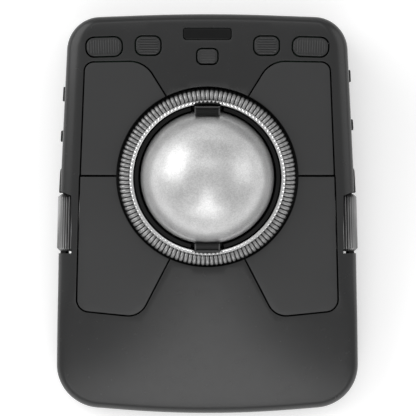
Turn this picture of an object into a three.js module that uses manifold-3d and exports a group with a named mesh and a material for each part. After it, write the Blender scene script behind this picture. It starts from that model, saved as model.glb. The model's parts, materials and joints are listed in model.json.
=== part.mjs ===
// Trackball mouse: a desk pointing device with a large ball in a tilted deck, a scroll ring round the ball,
// four flush main buttons, a row of five small keys, a roller on each side and four small side controls.
// Millimetres. +X is the user's right, +Y points away from the user, +Z is up, and the origin lies on the
// desk under the middle of the case. The dimensions below are measured from a line just behind that middle.
import * as THREE from "three";
import { mergeVertices } from "three/addons/utils/BufferGeometryUtils.js";
import Module from "manifold-3d";

const wasm = await Module();
wasm.setup();

// ---- Driving dimensions ----

const DEGREE = Math.PI / 180;
const CLEARANCE = 0.3; // between pieces that touch on the real object
const SIDES = [["left", -1], ["right", 1]];

// The case outline, counter-clockwise from the middle of the front edge: x, y, corner radius.
const CASE_RIGHT_CORNERS = [
  [0, -84.9, 400],
  [63.2, -79.1, 17],
  [61.1, 0, 1500],
  [56.9, 80.1, 13.9],
  [0, 82.2, 740],
];
const MIDDLE_BEHIND_ORIGIN = 0.79; // from the middle of the case's length to the line of y = 0
const COVER_BOTTOM = 5.2;
const COVER_WALL = 2.2;
const WALL_DRAFT = 0.8; // how far the case side leans in at its bottom edge
const BUTTON_WALL = 2.0;

// The top surface: a plane that rises towards the back, bent down behind the keys and over the palm rest.
const DECK_TILT = 7 * DEGREE;
const DECK_HEIGHT = 35;
const DECK_HEIGHT_AT_Y = 15;
const REAR_BEND = { start: 52, bend: 0.0022 };
const PALM_BEND = { start: -24, bend: 0.0034 };
const PALM_CROWN = { start: 5, length: 50, bend: 0.0011 };
const DECK_CROWN = 0.0002;
// How far the rounded case edge reaches inwards and down beside the buttons, beside the palm and at the ends.
const EDGE_ROUND = {
  side: { across: 9, down: 5 },
  palm: { across: 3.5, down: 3 },
  end: { across: 3, down: 3 },
};
const EDGE_ROUND_FADE = { start: -8, length: 34 };

// The ball and the round parts about it, in the deck's own frame: its origin is the ball's centre and its
// W axis is square to the deck.
const BALL_RADIUS = 27.5;
const BALL_CENTRE = new THREE.Vector3(0, 15.1, 34);
const RING_OPENING = 37.2;
const BUTTON_RING_GAP = 37.3;
const RING_PROFILE = [
  [30.35, -4.4], [38.9, -4.4], [38.9, -3.0], [36.6, -3.0], [36.6, 2.0], [36.1, 3.7], [35.0, 4.9],
  [33.6, 5.35], [32.2, 5.0], [31.7, 4.6], [31.45, 4.9], [30.35, 3.6],
];
const GUIDE = { inner: 34.2, outer: 38.8, bottom: -6.9, top: -4.7 };
const CUP = { seat: 28.4, wall: 28.2, outer: 29.9, shell: 30.2, rim: 3.6, flange: 39.6, flangeTop: -7.2,
  flangeBottom: -8.5 };
const CLIP = { halfWidth: 5.75, reach: 27.9, back: 29.5, bottom: -2, top: 10.4 };
const CLIP_CHAMFER = { back: 1.4, down: 1.6 };
const CLIP_NOTCH = { half: 6.3, bottom: -2.3 };
const BEARING = { radius: 1.5, distance: 29.1, below: 35 * DEGREE };
const BEARING_POCKET = { hole: 1.8, holeEnd: 31, boss: 3.2, bossEnd: 32.5 };
const BEARING_AZIMUTHS = { rear: 90 * DEGREE, left: 210 * DEGREE, right: 330 * DEGREE };
const SENSOR = { azimuth: 270 * DEGREE, below: 28 * DEGREE, window: 3.0, board: 5.5, chipX: 4, chipZ: 4.5 };
// Distances from the ball's centre to the sensor's parts.
const SENSOR_FROM_BALL = { lens: [28.9, 31], rim: [30.8, 32.1], chip: [32.4, 34.4], board: [34.7, 35.9] };
const SENSOR_LENS = { radius: 2.4, rim: 4 };
const RING_ENCODER = { x: [-3.5, 3.5], v: [40.2, 44.2], w: [-8.5, -2.6] };

// The frame plate that carries the cup, the button hinges and the switches, in the deck's frame.
const FRAME = { half: 49, front: -58, back: 44.5, top: -8.8, bottom: -10.6, hole: 31 };
const HINGES = { upper: { v: 41.5, w: -5.4 }, lower: { v: -54.5, w: -6.6 } };
const HINGE = { pin: 0.8, pinHalf: 3.6, bore: 1.1 };
const HINGE_X = { upper: [31, 45], lower: [34, 45] };
const HINGE_LEG = { halfX: 1.4, halfV: 1.1, below: 1.2, top: -1.0 };
const HINGE_SADDLE = { halfX: 4, halfV: 2.2, above: 1.5, slotHalf: 1.9, slotBelow: 2.6 };
const SWITCH_X = 43;
const SWITCH_V = { upper: 10, lower: -12 };
const SWITCH = { halfX: 2.9, halfV: 6.4, bottom: -8.5, top: -3.9, plunger: -2.9, plungerRadius: 1.0 };
const SWITCH_NUB = { radius: 1.5, bottom: -2.0, top: -0.6 };

// Gap centre lines of the main buttons on the left; the right ones mirror them.
const BUTTON_CORNERS = {
  upper: [[-52.2, 15.6], [3.4, 15.6], [-25.8, 62.4, 11], [-50.2, 62.0, 3.9]],
  lower: [[-52.4, 15.4], [-54.2, -40.2, 5.1], [-27.9, -42.8, 8.2], [2.3, 15.4]],
};

// The key row, in a frame that follows the surface: x, y, width, depth, corner radius and yaw of each key.
const KEY_TILT = 3 * DEGREE;
const KEY_ROW_Y = 69;
const KEYS = {
  far_left_key: { x: -42.2, y: 68.2, width: 14.9, depth: 8.1, radius: 3.4, yaw: 1.7 * DEGREE },
  near_left_key: { x: -24.2, y: 68.7, width: 10.5, depth: 7.9, radius: 2.9, yaw: 0 },
  centre_key: { x: 0, y: 64.3, width: 8.7, depth: 6.5, radius: 2.2, yaw: 0 },
  near_right_key: { x: 24.2, y: 68.7, width: 10.5, depth: 7.9, radius: 2.9, yaw: 0 },
  far_right_key: { x: 42.2, y: 68.2, width: 14.9, depth: 8.1, radius: 3.4, yaw: -1.7 * DEGREE },
};
const WINDOW = { x: 0, y: 73.5, width: 19.7, depth: 4.8, radius: 1.3, yaw: 0 };
const KEY_CAP = { proud: 0.3, below: 3.3, flangeBelow: 4.1, flange: 0.5, stem: 1.2 };
const KEY_BOARD = { top: -10.2, bottom: -11.4, half: 46.5, front: -7.8, back: 8 };
const TACT = { half: 3, top: -6.4, bottom: -9.9, plunger: -5.8, plungerRadius: 1.4, stemEnd: -5.0 };

// A roller on each side, its axle along the case side.
const ROLLER = { x: 56, y: -3.8, z: 22, radius: 6, half: 11.75, chamfer: 0.8, bore: 1.3, turn: 1.5 * DEGREE };
const AXLE = { radius: 1.0, front: -15.2, back: 19 };
const BRACKET = { x: [-5.5, 1.7], footX: [-5.5, -1.2], upright: [13.6, 15.4], floor: [12.3, 14.1], cap: 1.7 };
const ENCODER = { y: [15.7, 19.4], x: [-4.5, 1.5], z: [17.5, 26.3] };
const ROLLER_OPENING = { x: 56, beyond: 14, front: -16.4, back: 8.4, slant: 0.52, bottom: 14.5, around: 6.6 };
const FENDER = { front: 9.8, back: 18.7, proud: 0.6, bottom: 12, top: 29, rootInside: 2.1 };

// Side controls: y, length along the side and which way they work.
const SIDE_CONTROLS = {
  left_slide_switch: { side: -1, y: 49.5, length: 6.0, slides: true },
  left_push_button: { side: -1, y: 32.1, length: 4.7, slides: false },
  right_slide_switch: { side: 1, y: 57.0, length: 5.0, slides: true },
  right_push_button: { side: 1, y: 36.8, length: 4.6, slides: false },
};
const SIDE_CONTROL = { z: 20, height: 3.5, proud: 1.6, travel: 1.25, flange: 1.2, flangeLip: 1.3 };

// The base, what stands on it, and the screws that hold the cover down.
const BASE = { bottom: 1.2, floor: 3.4, inset: 0.9, edge: 1.5, wallTop: 4.9, lipTop: 7.1, lip: [3.6, 5.0] };
const FEET = { front: [38, -68], rear: [40, 66] };
const FOOT = { length: 16, width: 8, corner: 3.2 };
const SCREWS = { front: [52, -62], rear: [50.8, 70.6] };
const SCREW = { head: 2.6, headBottom: 1.5, headTop: 3.0, shank: 1.1, end: 12 };
const CROSS_SLOT = { half: 1.7, halfWidth: 0.35, depth: 0.8 };
const BOSS = { radius: 3.2, top: 30, hole: 1.4, holeEnd: 13 };
const RISER = { radius: 4.2, inset: 2, recess: 2.9, recessTop: 3.2 };
const LIP_OVERLAP = 0.6;
const POSTS = [[44, 50], [44, -28]];
const POST_RADIUS = 2.5;
const BOARD = { bottom: 7.0, top: 8.6, hole: 17.5 };
const BOARD_RIGHT_CORNERS = [[49, -32], [49, 60], [41, 66], [41, 75.2]];
// Chips and the battery connector on the board: x, y and height.
const CHIPS = [
  { x: [18, 28], y: [-22, -12], height: 1.2 },
  { x: [-30, -20], y: [48, 60], height: 1.6 },
  { x: [9, 15], y: [-30.5, -26], height: 3.2 },
];
const BATTERY = { half: 25, front: -72, back: -38, bottom: 3.7, top: 10.7, corner: 2.5 };
const LEAD_RADIUS = 0.9;
const LEAD_ROUTE = [
  [-8, BATTERY.back + 2 * CLEARANCE, 7.4],
  [-7.8, -36.2, 7.6],
  [-1, -34.6, 10],
  [7, -34.6, 10.4],
  [11.5, -33.4, 10.3],
  [12, -30.5 - CLEARANCE, 10.2],
];
const USB = { half: 4.5, front: 71.5, back: 79, top: 11.8, opening: 0.7 };
const USB_TONGUE = { half: 2.8, front: 72, back: 78.2, z: [9.9, 10.5] };
const SINK = 0.2; // how far joined bodies run into each other

// ---- Materials ----

function finish(color, roughness, metalness = 0) {
  return new THREE.MeshStandardMaterial({ color, roughness, metalness });
}

const casePlastic = finish(0x3b3c3e, 0.55);
const buttonPlastic = finish(0x404143, 0.55);
const keyPlastic = finish(0x2a2b2d, 0.5);
const framePlastic = finish(0x1b1c1e, 0.6);
const smokedPlastic = finish(0x101114, 0.12);
const pearlResin = finish(0xb9bbbe, 0.2, 0.5);
const ringAlloy = finish(0xa9abad, 0.3, 1);
const steel = finish(0xc8c9cb, 0.2, 1);
const boardGreen = finish(0x1f4a33, 0.45);
const footPolymer = finish(0x141414, 0.7);
const batteryWrap = finish(0x7c8288, 0.45);

// ---- Geometry helpers ----

// A closed three.js geometry, moved by a matrix, as a solid for joining and cutting.
function solid(geometry, place) {
  const bare = geometry.index ? geometry.toNonIndexed() : geometry.clone();
  bare.deleteAttribute("normal");
  bare.deleteAttribute("uv");
  if (place) bare.applyMatrix4(place);
  const merged = mergeVertices(bare, 1e-4);
  const corners = merged.index.array;
  const triangles = [];
  for (let i = 0; i < corners.length; i += 3) {
    const [a, b, c] = corners.slice(i, i + 3);
    if (a !== b && b !== c && c !== a) triangles.push(a, b, c);
  }
  const body = (order) => new wasm.Manifold(new wasm.Mesh({
    numProp: 3,
    vertProperties: merged.attributes.position.array,
    triVerts: new Uint32Array(order),
  }));
  const made = body(triangles);
  return made.volume() < 0 ? body(triangles.reverse()) : made;
}

// The other way: a named mesh of a solid.
function meshOf(name, body, material) {
  const { vertProperties, triVerts } = body.getMesh();
  const geometry = new THREE.BufferGeometry();
  geometry.setAttribute("position", new THREE.BufferAttribute(new Float32Array(vertProperties), 3));
  geometry.setIndex(new THREE.BufferAttribute(new Uint32Array(triVerts), 1));
  geometry.computeVertexNormals();
  const mesh = new THREE.Mesh(geometry, material);
  mesh.name = name;
  return mesh;
}

const union = (bodies) => bodies.reduce((all, body) => all.add(body));
const without = (body, cuts) => cuts.reduce((left, cut) => left.subtract(cut), body);

function box([x0, x1], [y0, y1], [z0, z1], place) {
  const geometry = new THREE.BoxGeometry(Math.abs(x1 - x0), Math.abs(y1 - y0), Math.abs(z1 - z0));
  geometry.translate((x0 + x1) / 2, (y0 + y1) / 2, (z0 + z1) / 2);
  return solid(geometry, place);
}

// A round bar between two points.
function bar(radius, from, to, segments = 16, place) {
  const start = new THREE.Vector3(...from);
  const along = new THREE.Vector3(...to).sub(start);
  const geometry = new THREE.CylinderGeometry(radius, radius, along.length(), segments);
  const turn = new THREE.Quaternion().setFromUnitVectors(
    new THREE.Vector3(0, 1, 0),
    along.clone().normalize(),
  );
  geometry.applyQuaternion(turn);
  geometry.translate(...start.addScaledVector(along, 0.5).toArray());
  return solid(geometry, place);
}

// A body of revolution about Z from a profile of radius and height.
function turned(profile, segments, place) {
  const points = profile.map(([radius, height]) => new THREE.Vector2(radius, height));
  const onAxis = points[0].x === 0 && points.at(-1).x === 0;
  if (!onAxis) points.push(points[0].clone());
  const geometry = new THREE.LatheGeometry(points, segments);
  geometry.rotateX(90 * DEGREE);
  return solid(geometry, place);
}

// Points and outward normals along a counter-clockwise polygon of [x, y, corner radius].
function outline(corners, arcStep = 30 * DEGREE, longest = Infinity) {
  const points = [];
  corners.forEach(([x, y, radius = 0], i) => {
    const before = corners.at(i - 1);
    const after = corners[(i + 1) % corners.length];
    const arriving = new THREE.Vector2(x - before[0], y - before[1]).normalize();
    const leaving = new THREE.Vector2(after[0] - x, after[1] - y).normalize();
    const bend = Math.acos(arriving.dot(leaving));
    const normal = new THREE.Vector2(arriving.y, -arriving.x);
    const tangent = radius * Math.tan(bend / 2);
    const centre = new THREE.Vector2(x, y)
      .addScaledVector(arriving, -tangent)
      .addScaledVector(normal, -radius);
    const fewest = Math.max(1, Math.ceil(bend / arcStep), Math.ceil((radius * bend) / longest));
    const steps = radius ? fewest : 0;
    for (let k = 0; k <= steps; k += 1) {
      const facing = normal.clone().rotateAround(new THREE.Vector2(), steps ? (bend * k) / steps : 0);
      points.push({ at: centre.clone().addScaledVector(facing, radius), normal: facing });
    }
  });
  return points.flatMap((point, i) => {
    const next = points[(i + 1) % points.length];
    const pieces = Math.ceil(point.at.distanceTo(next.at) / longest) || 1;
    return Array.from({ length: pieces }, (_, k) => ({
      at: point.at.clone().lerp(next.at, k / pieces),
      normal: point.normal.clone().lerp(next.normal, k / pieces).normalize(),
    }));
  });
}

// The corners of the same polygon with every edge moved inwards.
function inset(corners, distance) {
  return corners.map(([x, y, radius = 0], i) => {
    const before = corners.at(i - 1);
    const after = corners[(i + 1) % corners.length];
    const arriving = new THREE.Vector2(x - before[0], y - before[1]).normalize();
    const leaving = new THREE.Vector2(after[0] - x, after[1] - y).normalize();
    const inward = new THREE.Vector2(-arriving.y - leaving.y, arriving.x + leaving.x).normalize();
    const share = distance / inward.dot(new THREE.Vector2(-arriving.y, arriving.x));
    return [x + inward.x * share, y + inward.y * share, Math.max(0, radius ? radius - distance : 0)];
  });
}

function prism(corners, [z0, z1], place) {
  const shape = new THREE.Shape(outline(corners).map(({ at }) => at));
  const geometry = new THREE.ExtrudeGeometry(shape, { depth: z1 - z0, bevelEnabled: false });
  geometry.translate(0, 0, z0);
  return solid(geometry, place);
}

// A rounded rectangle's corners about a centre.
function roundedRectangle({ x, y, width, depth, radius, yaw = 0 }, grow = 0) {
  const halfX = width / 2 + grow;
  const halfY = depth / 2 + grow;
  const centre = new THREE.Vector2(x, y);
  return [[-1, -1], [1, -1], [1, 1], [-1, 1]].map(([i, j]) => {
    const corner = new THREE.Vector2(x + i * halfX, y + j * halfY).rotateAround(centre, yaw);
    return [corner.x, corner.y, Math.max(0.2, radius + grow)];
  });
}

// A closed skin through rings of equal count, closed by a fan to a tip at each end.
function loft(rings, firstTip, lastTip) {
  const count = rings[0].length;
  const points = [firstTip, ...rings.flat(), lastTip];
  const at = (ring, i) => 1 + ring * count + (i % count);
  const index = [];
  for (let i = 0; i < count; i += 1) {
    index.push(0, at(0, i + 1), at(0, i));
    for (let ring = 0; ring < rings.length - 1; ring += 1) {
      index.push(at(ring, i), at(ring, i + 1), at(ring + 1, i + 1));
      index.push(at(ring, i), at(ring + 1, i + 1), at(ring + 1, i));
    }
    index.push(at(rings.length - 1, i), at(rings.length - 1, i + 1), points.length - 1);
  }
  const geometry = new THREE.BufferGeometry().setFromPoints(points);
  geometry.setIndex(index);
  return solid(geometry);
}

const mirrorX = (corners) => corners.map(([x, y, radius]) => [-x, y, radius]).reverse();

// ---- The case surface ----

const CASE_CORNERS = [...CASE_RIGHT_CORNERS, ...mirrorX(CASE_RIGHT_CORNERS.slice(1, -1))];
const CASE_OUTLINE = outline(CASE_CORNERS, 22.5 * DEGREE, 23);

function deckHeight(x, y) {
  const behind = Math.max(0, y - REAR_BEND.start);
  const ahead = Math.max(0, PALM_BEND.start - y);
  const palm = THREE.MathUtils.smoothstep(PALM_CROWN.start - y, 0, PALM_CROWN.length);
  return DECK_HEIGHT + Math.tan(DECK_TILT) * (y - DECK_HEIGHT_AT_Y)
    - REAR_BEND.bend * behind ** 2 - PALM_BEND.bend * ahead ** 2
    - (DECK_CROWN + PALM_CROWN.bend * palm) * x ** 2;
}

// How far the rounded edge reaches one way, inwards or down, at a place on the outline.
function edgeReach({ at, normal }, way) {
  const { side, palm, end } = EDGE_ROUND;
  const { start, length } = EDGE_ROUND_FADE;
  const flank = THREE.MathUtils.lerp(
    side[way],
    palm[way],
    THREE.MathUtils.smoothstep(start - at.y, 0, length),
  );
  return THREE.MathUtils.lerp(end[way], flank, normal.x ** 2);
}

// The solid inside the case's outer surface, or inside a surface that lies a wall's thickness under it.
function caseSolid(wall, bottom) {
  const ringAt = (fall) => CASE_OUTLINE.map(({ at, normal }) => {
    const across = edgeReach({ at, normal }, "across");
    const down = edgeReach({ at, normal }, "down");
    const point = at.clone().addScaledVector(normal, -wall - across * (1 - Math.cos(fall)));
    const height = deckHeight(point.x, point.y) - wall - down * (1 - Math.sin(fall));
    return new THREE.Vector3(point.x, point.y, height);
  });
  const foot = CASE_OUTLINE.map(({ at, normal }) => {
    const point = at.clone().addScaledVector(normal, -wall - WALL_DRAFT);
    return new THREE.Vector3(point.x, point.y, bottom);
  });
  const flat = ringAt(90 * DEGREE);
  const inner = [0.87, 0.75, 0.5, 0.25].map((share) => flat.map(({ x, y }) => (
    new THREE.Vector3(x * share, y * share, deckHeight(x * share, y * share) - wall)
  )));
  const rings = [foot, ringAt(0), ringAt(45 * DEGREE), flat, ...inner];
  return loft(rings, new THREE.Vector3(0, 0, bottom), new THREE.Vector3(0, 0, deckHeight(0, 0) - wall));
}

const caseOuter = caseSolid(0, COVER_BOTTOM);
const caseInner = caseSolid(COVER_WALL, COVER_BOTTOM - 1);
const buttonInner = caseSolid(BUTTON_WALL, COVER_BOTTOM - 1);

// ---- Frames ----

// The deck: its W axis is the ring's axis, and its origin is the ball's centre.
const deck = new THREE.Group();
deck.position.copy(BALL_CENTRE);
deck.rotation.x = DECK_TILT;
deck.updateMatrix();
const deckToCase = deck.matrix;
const caseToDeck = deckToCase.clone().invert();

// The key row: its origin is on the case surface.
const keyRow = new THREE.Group();
keyRow.position.set(0, KEY_ROW_Y, deckHeight(0, KEY_ROW_Y));
keyRow.rotation.x = KEY_TILT;
keyRow.updateMatrix();
const keyRowToCase = keyRow.matrix;

// A key's or the window's outline and surface height in the key row's frame.
function inKeyRow(key) {
  const place = new THREE.Vector3(key.x, key.y, deckHeight(key.x, key.y));
  place.applyMatrix4(keyRowToCase.clone().invert());
  return { ...key, y: place.y, surface: place.z };
}

// Half the case's width at a y, measured on the outline.
function caseHalfWidth(y) {
  const [, , middle, rear] = CASE_RIGHT_CORNERS;
  const front = CASE_RIGHT_CORNERS[1];
  const [from, to] = y > middle[1] ? [middle, rear] : [front, middle];
  return THREE.MathUtils.mapLinear(y, from[1], to[1], from[0], to[0]);
}

// ---- Cover ----

const RING_CUT = [[0, -14], [RING_OPENING, -14], [RING_OPENING, 20], [0, 20]];
const BUTTON_CUT = [[0, -14], [BUTTON_RING_GAP, -14], [BUTTON_RING_GAP, 20], [0, 20]];
const ROUND_CUT_SEGMENTS = 48;
const THROUGH_DECK = [12, 60];
const THROUGH_KEY_ROW = [-8, 8];

function mainButtonCorners(level, side) {
  return side < 0 ? BUTTON_CORNERS[level] : mirrorX(BUTTON_CORNERS[level]);
}

// The room round a roller where it reaches under the deck.
function rollerRelief(side) {
  const { front, back, around } = ROLLER_OPENING;
  return bar(around, [side * ROLLER.x, front, ROLLER.z], [side * ROLLER.x, back, ROLLER.z], 24);
}

// The cut for a roller: open outwards and upwards.
function rollerCut(side) {
  const { x, beyond, front, back, slant, bottom } = ROLLER_OPENING;
  const outer = x + beyond;
  const corners = [[x, front], [outer, front], [outer, back + slant * beyond], [x, back]];
  const notch = prism(side < 0 ? mirrorX(corners) : corners, [bottom, THROUGH_DECK[1]]);
  return notch.add(rollerRelief(side));
}

// The cut through the case side for a switch or a button.
function sideControlCut({ side, y, length, slides }) {
  const halfLength = length / 2 + CLEARANCE + (slides ? SIDE_CONTROL.travel : 0);
  const halfHeight = SIDE_CONTROL.height / 2 + CLEARANCE;
  const edge = caseHalfWidth(y);
  return box(
    [side * (edge - 5), side * (edge + 5)],
    [y - halfLength, y + halfLength],
    [SIDE_CONTROL.z - halfHeight, SIDE_CONTROL.z + halfHeight],
  );
}

// A low guard behind each roller.
function fender(side) {
  const { front, back, proud, bottom, top, rootInside } = FENDER;
  const edge = (y) => caseHalfWidth(y) + proud;
  const root = caseHalfWidth(front) - rootInside;
  const corners = [[root, front], [edge(front), front, 0.5], [edge(back - 2), back - 2, 1], [root, back + 1]];
  return prism(side < 0 ? mirrorX(corners) : corners, [bottom, top]);
}

function screwBoss([x, y], side) {
  return bar(BOSS.radius, [side * x, y, COVER_BOTTOM], [side * x, y, BOSS.top], 12).intersect(caseOuter);
}

function screwHole([x, y], side) {
  return bar(BOSS.hole, [side * x, y, COVER_BOTTOM - 1], [side * x, y, BOSS.holeEnd], 8);
}

function topCover() {
  const shell = caseOuter.subtract(caseInner);
  const both = (make) => SIDES.map(([, side]) => make(side));
  const bosses = Object.values(SCREWS).flatMap((place) => both((side) => screwBoss(place, side)));
  const holes = Object.values(SCREWS).flatMap((place) => both((side) => screwHole(place, side)));
  const buttonCuts = ["upper", "lower"].flatMap((level) => both((side) => (
    prism(inset(mainButtonCorners(level, side), -CLEARANCE), THROUGH_DECK)
  )));
  const keyCuts = [...Object.values(KEYS), WINDOW].map((key) => (
    prism(roundedRectangle(inKeyRow(key), CLEARANCE), THROUGH_KEY_ROW, keyRowToCase)
  ));
  const usbCut = box(
    [-USB.half - USB.opening, USB.half + USB.opening],
    [USB.back - 2, USB.back + 8],
    [BOARD.top - USB.opening, USB.top + USB.opening],
  );
  const body = without(shell.add(union(bosses)), [
    ...holes,
    turned(RING_CUT, ROUND_CUT_SEGMENTS, deckToCase),
    ...buttonCuts,
    ...keyCuts,
    usbCut,
    ...Object.values(SIDE_CONTROLS).map(sideControlCut),
  ]);
  const guarded = body.add(union(both(fender)).subtract(caseInner));
  return meshOf("top_cover", without(guarded, both(rollerCut)), casePlastic);
}

// ---- Main buttons, hinged on pins that snap into the frame's saddles ----

const acrossDeck = (x, half, v, w) => [[x - half, v, w], [x + half, v, w]];

function hingeLeg(x, { v, w }) {
  const { halfX, halfV, below, top } = HINGE_LEG;
  const leg = box([x - halfX, x + halfX], [v - halfV, v + halfV], [w - below, top], deckToCase);
  const pin = bar(HINGE.pin, ...acrossDeck(x, HINGE.pinHalf, v, w), 8, deckToCase);
  return leg.add(pin);
}

function hingeSaddle(x, { v, w }) {
  const { halfX, halfV, above, slotHalf, slotBelow } = HINGE_SADDLE;
  const cheeks = box(
    [x - halfX, x + halfX],
    [v - halfV, v + halfV],
    [FRAME.top - SINK, w + above],
    deckToCase,
  );
  const slot = box(
    [x - slotHalf, x + slotHalf],
    [v - halfV - 1, v + halfV + 1],
    [w - slotBelow, 0],
    deckToCase,
  );
  const bore = bar(HINGE.bore, ...acrossDeck(x, halfX + 1, v, w), 8, deckToCase);
  return without(cheeks, [slot, bore]);
}

function mainButton(level, [sideName, side]) {
  const corners = inset(mainButtonCorners(level, side), CLEARANCE);
  const plate = caseOuter.intersect(prism(corners, THROUGH_DECK)).subtract(buttonInner);
  const ringRoom = turned(BUTTON_CUT, ROUND_CUT_SEGMENTS, deckToCase);
  const trimmed = without(plate, [ringRoom, rollerRelief(side)]);
  const legs = HINGE_X[level].map((x) => hingeLeg(side * x, HINGES[level]));
  const x = side * SWITCH_X;
  const v = SWITCH_V[level];
  const nub = bar(SWITCH_NUB.radius, [x, v, SWITCH_NUB.bottom], [x, v, SWITCH_NUB.top], 8, deckToCase);
  return meshOf(`${level}_${sideName}_button`, union([trimmed, nub, ...legs]), buttonPlastic);
}

// ---- Keys, their board and the indicator window, in the key row's frame ----

function keyBody(key, proud) {
  const placed = inKeyRow(key);
  const { surface } = placed;
  const cap = roundedRectangle(placed, -CLEARANCE);
  const flange = roundedRectangle(placed, KEY_CAP.flange);
  return prism(cap, [surface - KEY_CAP.below, surface + proud])
    .add(prism(flange, [surface - KEY_CAP.flangeBelow, surface - KEY_CAP.below]));
}

function keyCap(name, key) {
  const { x, y, surface } = inKeyRow(key);
  const stem = bar(KEY_CAP.stem, [x, y, TACT.stemEnd], [x, y, surface - KEY_CAP.flangeBelow + SINK], 8);
  return meshOf(name, keyBody(key, KEY_CAP.proud).add(stem), keyPlastic);
}

function tactSwitch(name, key) {
  const { x, y } = inKeyRow(key);
  const { half, bottom, top } = TACT;
  const body = box([x - half, x + half], [y - half, y + half], [bottom, top]);
  const plunger = bar(TACT.plungerRadius, [x, y, top - SINK], [x, y, TACT.plunger], 8);
  return meshOf(name.replace("key", "tact_switch"), body.add(plunger), framePlastic);
}

function keyBoard() {
  const { half, front, back, bottom, top } = KEY_BOARD;
  return meshOf("key_board", box([-half, half], [front, back], [bottom, top]), boardGreen);
}

// ---- Round parts about the ball, in the deck's frame ----

function trackball() {
  return meshOf("trackball", solid(new THREE.SphereGeometry(BALL_RADIUS, 28, 16)), pearlResin);
}

function scrollRing() {
  return meshOf("scroll_ring", turned(RING_PROFILE, 48), ringAlloy);
}

function ringGuide() {
  const { inner, outer, bottom, top } = GUIDE;
  const profile = [[inner, bottom], [outer, bottom], [outer, top], [inner, top]];
  return meshOf("ring_guide", turned(profile, 36), framePlastic);
}

// The direction from the ball's centre at an azimuth, so far below the deck.
function direction(azimuth, below) {
  const level = Math.cos(below);
  return new THREE.Vector3(Math.cos(azimuth) * level, Math.sin(azimuth) * level, -Math.sin(below));
}

// A round bar that points at the ball's centre, between two distances from it.
function aimedBar(radius, heading, near, far, segments = 10) {
  const place = (distance) => heading.clone().multiplyScalar(distance).toArray();
  return bar(radius, place(near), place(far), segments);
}

// Points on a circle about the ball's centre from one angle to another, as radius and height.
function arc(radius, fromAngle, toAngle, steps) {
  return Array.from({ length: steps + 1 }, (_, k) => {
    const angle = THREE.MathUtils.lerp(fromAngle, toAngle, k / steps);
    return [k === 0 && fromAngle === -90 * DEGREE ? 0 : radius * Math.cos(angle), radius * Math.sin(angle)];
  });
}

function ballCup() {
  const seatEnd = -Math.acos(CUP.wall / CUP.seat);
  const shellEnd = Math.asin(CUP.flangeBottom / CUP.shell);
  const profile = [
    ...arc(CUP.seat, -90 * DEGREE, seatEnd, 5),
    [CUP.wall, CUP.rim], [CUP.outer, CUP.rim], [CUP.outer, CUP.flangeTop], [CUP.flange, CUP.flangeTop],
    [CUP.flange, CUP.flangeBottom],
    ...arc(CUP.shell, -90 * DEGREE, shellEnd, 4).reverse(),
  ];
  const bearings = Object.values(BEARING_AZIMUTHS).map((azimuth) => direction(azimuth, BEARING.below));
  const { hole, holeEnd, boss, bossEnd } = BEARING_POCKET;
  const bosses = bearings.map((heading) => aimedBar(boss, heading, (CUP.seat + CUP.shell) / 2, bossEnd));
  const pockets = bearings.map((heading) => aimedBar(hole, heading, CUP.seat - 3, holeEnd));
  const sensorHeading = direction(SENSOR.azimuth, SENSOR.below);
  const window = aimedBar(SENSOR.window, sensorHeading, CUP.seat - 3, CUP.shell + 1);
  const notches = [1, -1].map((end) => box(
    [-CLIP_NOTCH.half, CLIP_NOTCH.half],
    [end * (CUP.wall - 3), end * (CUP.outer + 1)],
    [CLIP_NOTCH.bottom, CUP.rim + 1],
  ));
  const cup = without(turned(profile, 36).add(union(bosses)), [...pockets, window, ...notches]);
  return meshOf("ball_cup", cup, framePlastic);
}

// A clip that keeps the ball in its cup: its inner face follows the ball.
function ballClip(name, end) {
  const { reach, back, bottom, top, halfWidth } = CLIP;
  const heights = [bottom, 2, 5, 8, top];
  const face = heights.map((w) => [Math.sqrt(reach ** 2 - w ** 2), w]);
  const profile = [
    ...face,
    [back - CLIP_CHAMFER.back, top],
    [back, top - CLIP_CHAMFER.down],
    [back, bottom],
  ];
  const shape = new THREE.Shape(profile.map(([v, w]) => new THREE.Vector2(v, w)));
  const geometry = new THREE.ExtrudeGeometry(shape, { depth: 2 * halfWidth, bevelEnabled: false });
  geometry.translate(0, 0, -halfWidth);
  geometry.rotateY(90 * DEGREE);
  geometry.rotateX(90 * DEGREE);
  if (end < 0) geometry.rotateZ(180 * DEGREE);
  return meshOf(name, solid(geometry), framePlastic);
}

function bearingBall(name, azimuth) {
  const geometry = new THREE.SphereGeometry(BEARING.radius, 8, 6);
  const mesh = meshOf(name, solid(geometry), steel);
  mesh.position.copy(direction(azimuth, BEARING.below).multiplyScalar(BEARING.distance));
  return mesh;
}

// The optical sensor looks at the ball through the cup's window: lens, chip and its small board.
function sensorParts() {
  const aimed = new THREE.Group();
  const heading = direction(SENSOR.azimuth, SENSOR.below);
  aimed.quaternion.setFromUnitVectors(new THREE.Vector3(0, -1, 0), heading);
  const outwards = ([near, far]) => [-far, -near];
  const disc = (radius, [near, far]) => bar(radius, [0, -near, 0], [0, -far, 0], 16);
  const lens = disc(SENSOR_LENS.radius, SENSOR_FROM_BALL.lens)
    .add(disc(SENSOR_LENS.rim, SENSOR_FROM_BALL.rim));
  const chip = box(
    [-SENSOR.chipX, SENSOR.chipX],
    outwards(SENSOR_FROM_BALL.chip),
    [-SENSOR.chipZ, SENSOR.chipZ],
  );
  const board = box(
    [-SENSOR.board, SENSOR.board],
    outwards(SENSOR_FROM_BALL.board),
    [-SENSOR.board, SENSOR.board],
  );
  aimed.add(meshOf("sensor_lens", lens, smokedPlastic));
  aimed.add(meshOf("optical_sensor", chip, framePlastic));
  aimed.add(meshOf("sensor_board", board, boardGreen));
  return aimed;
}

// ---- The inner frame and its switches ----

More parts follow.
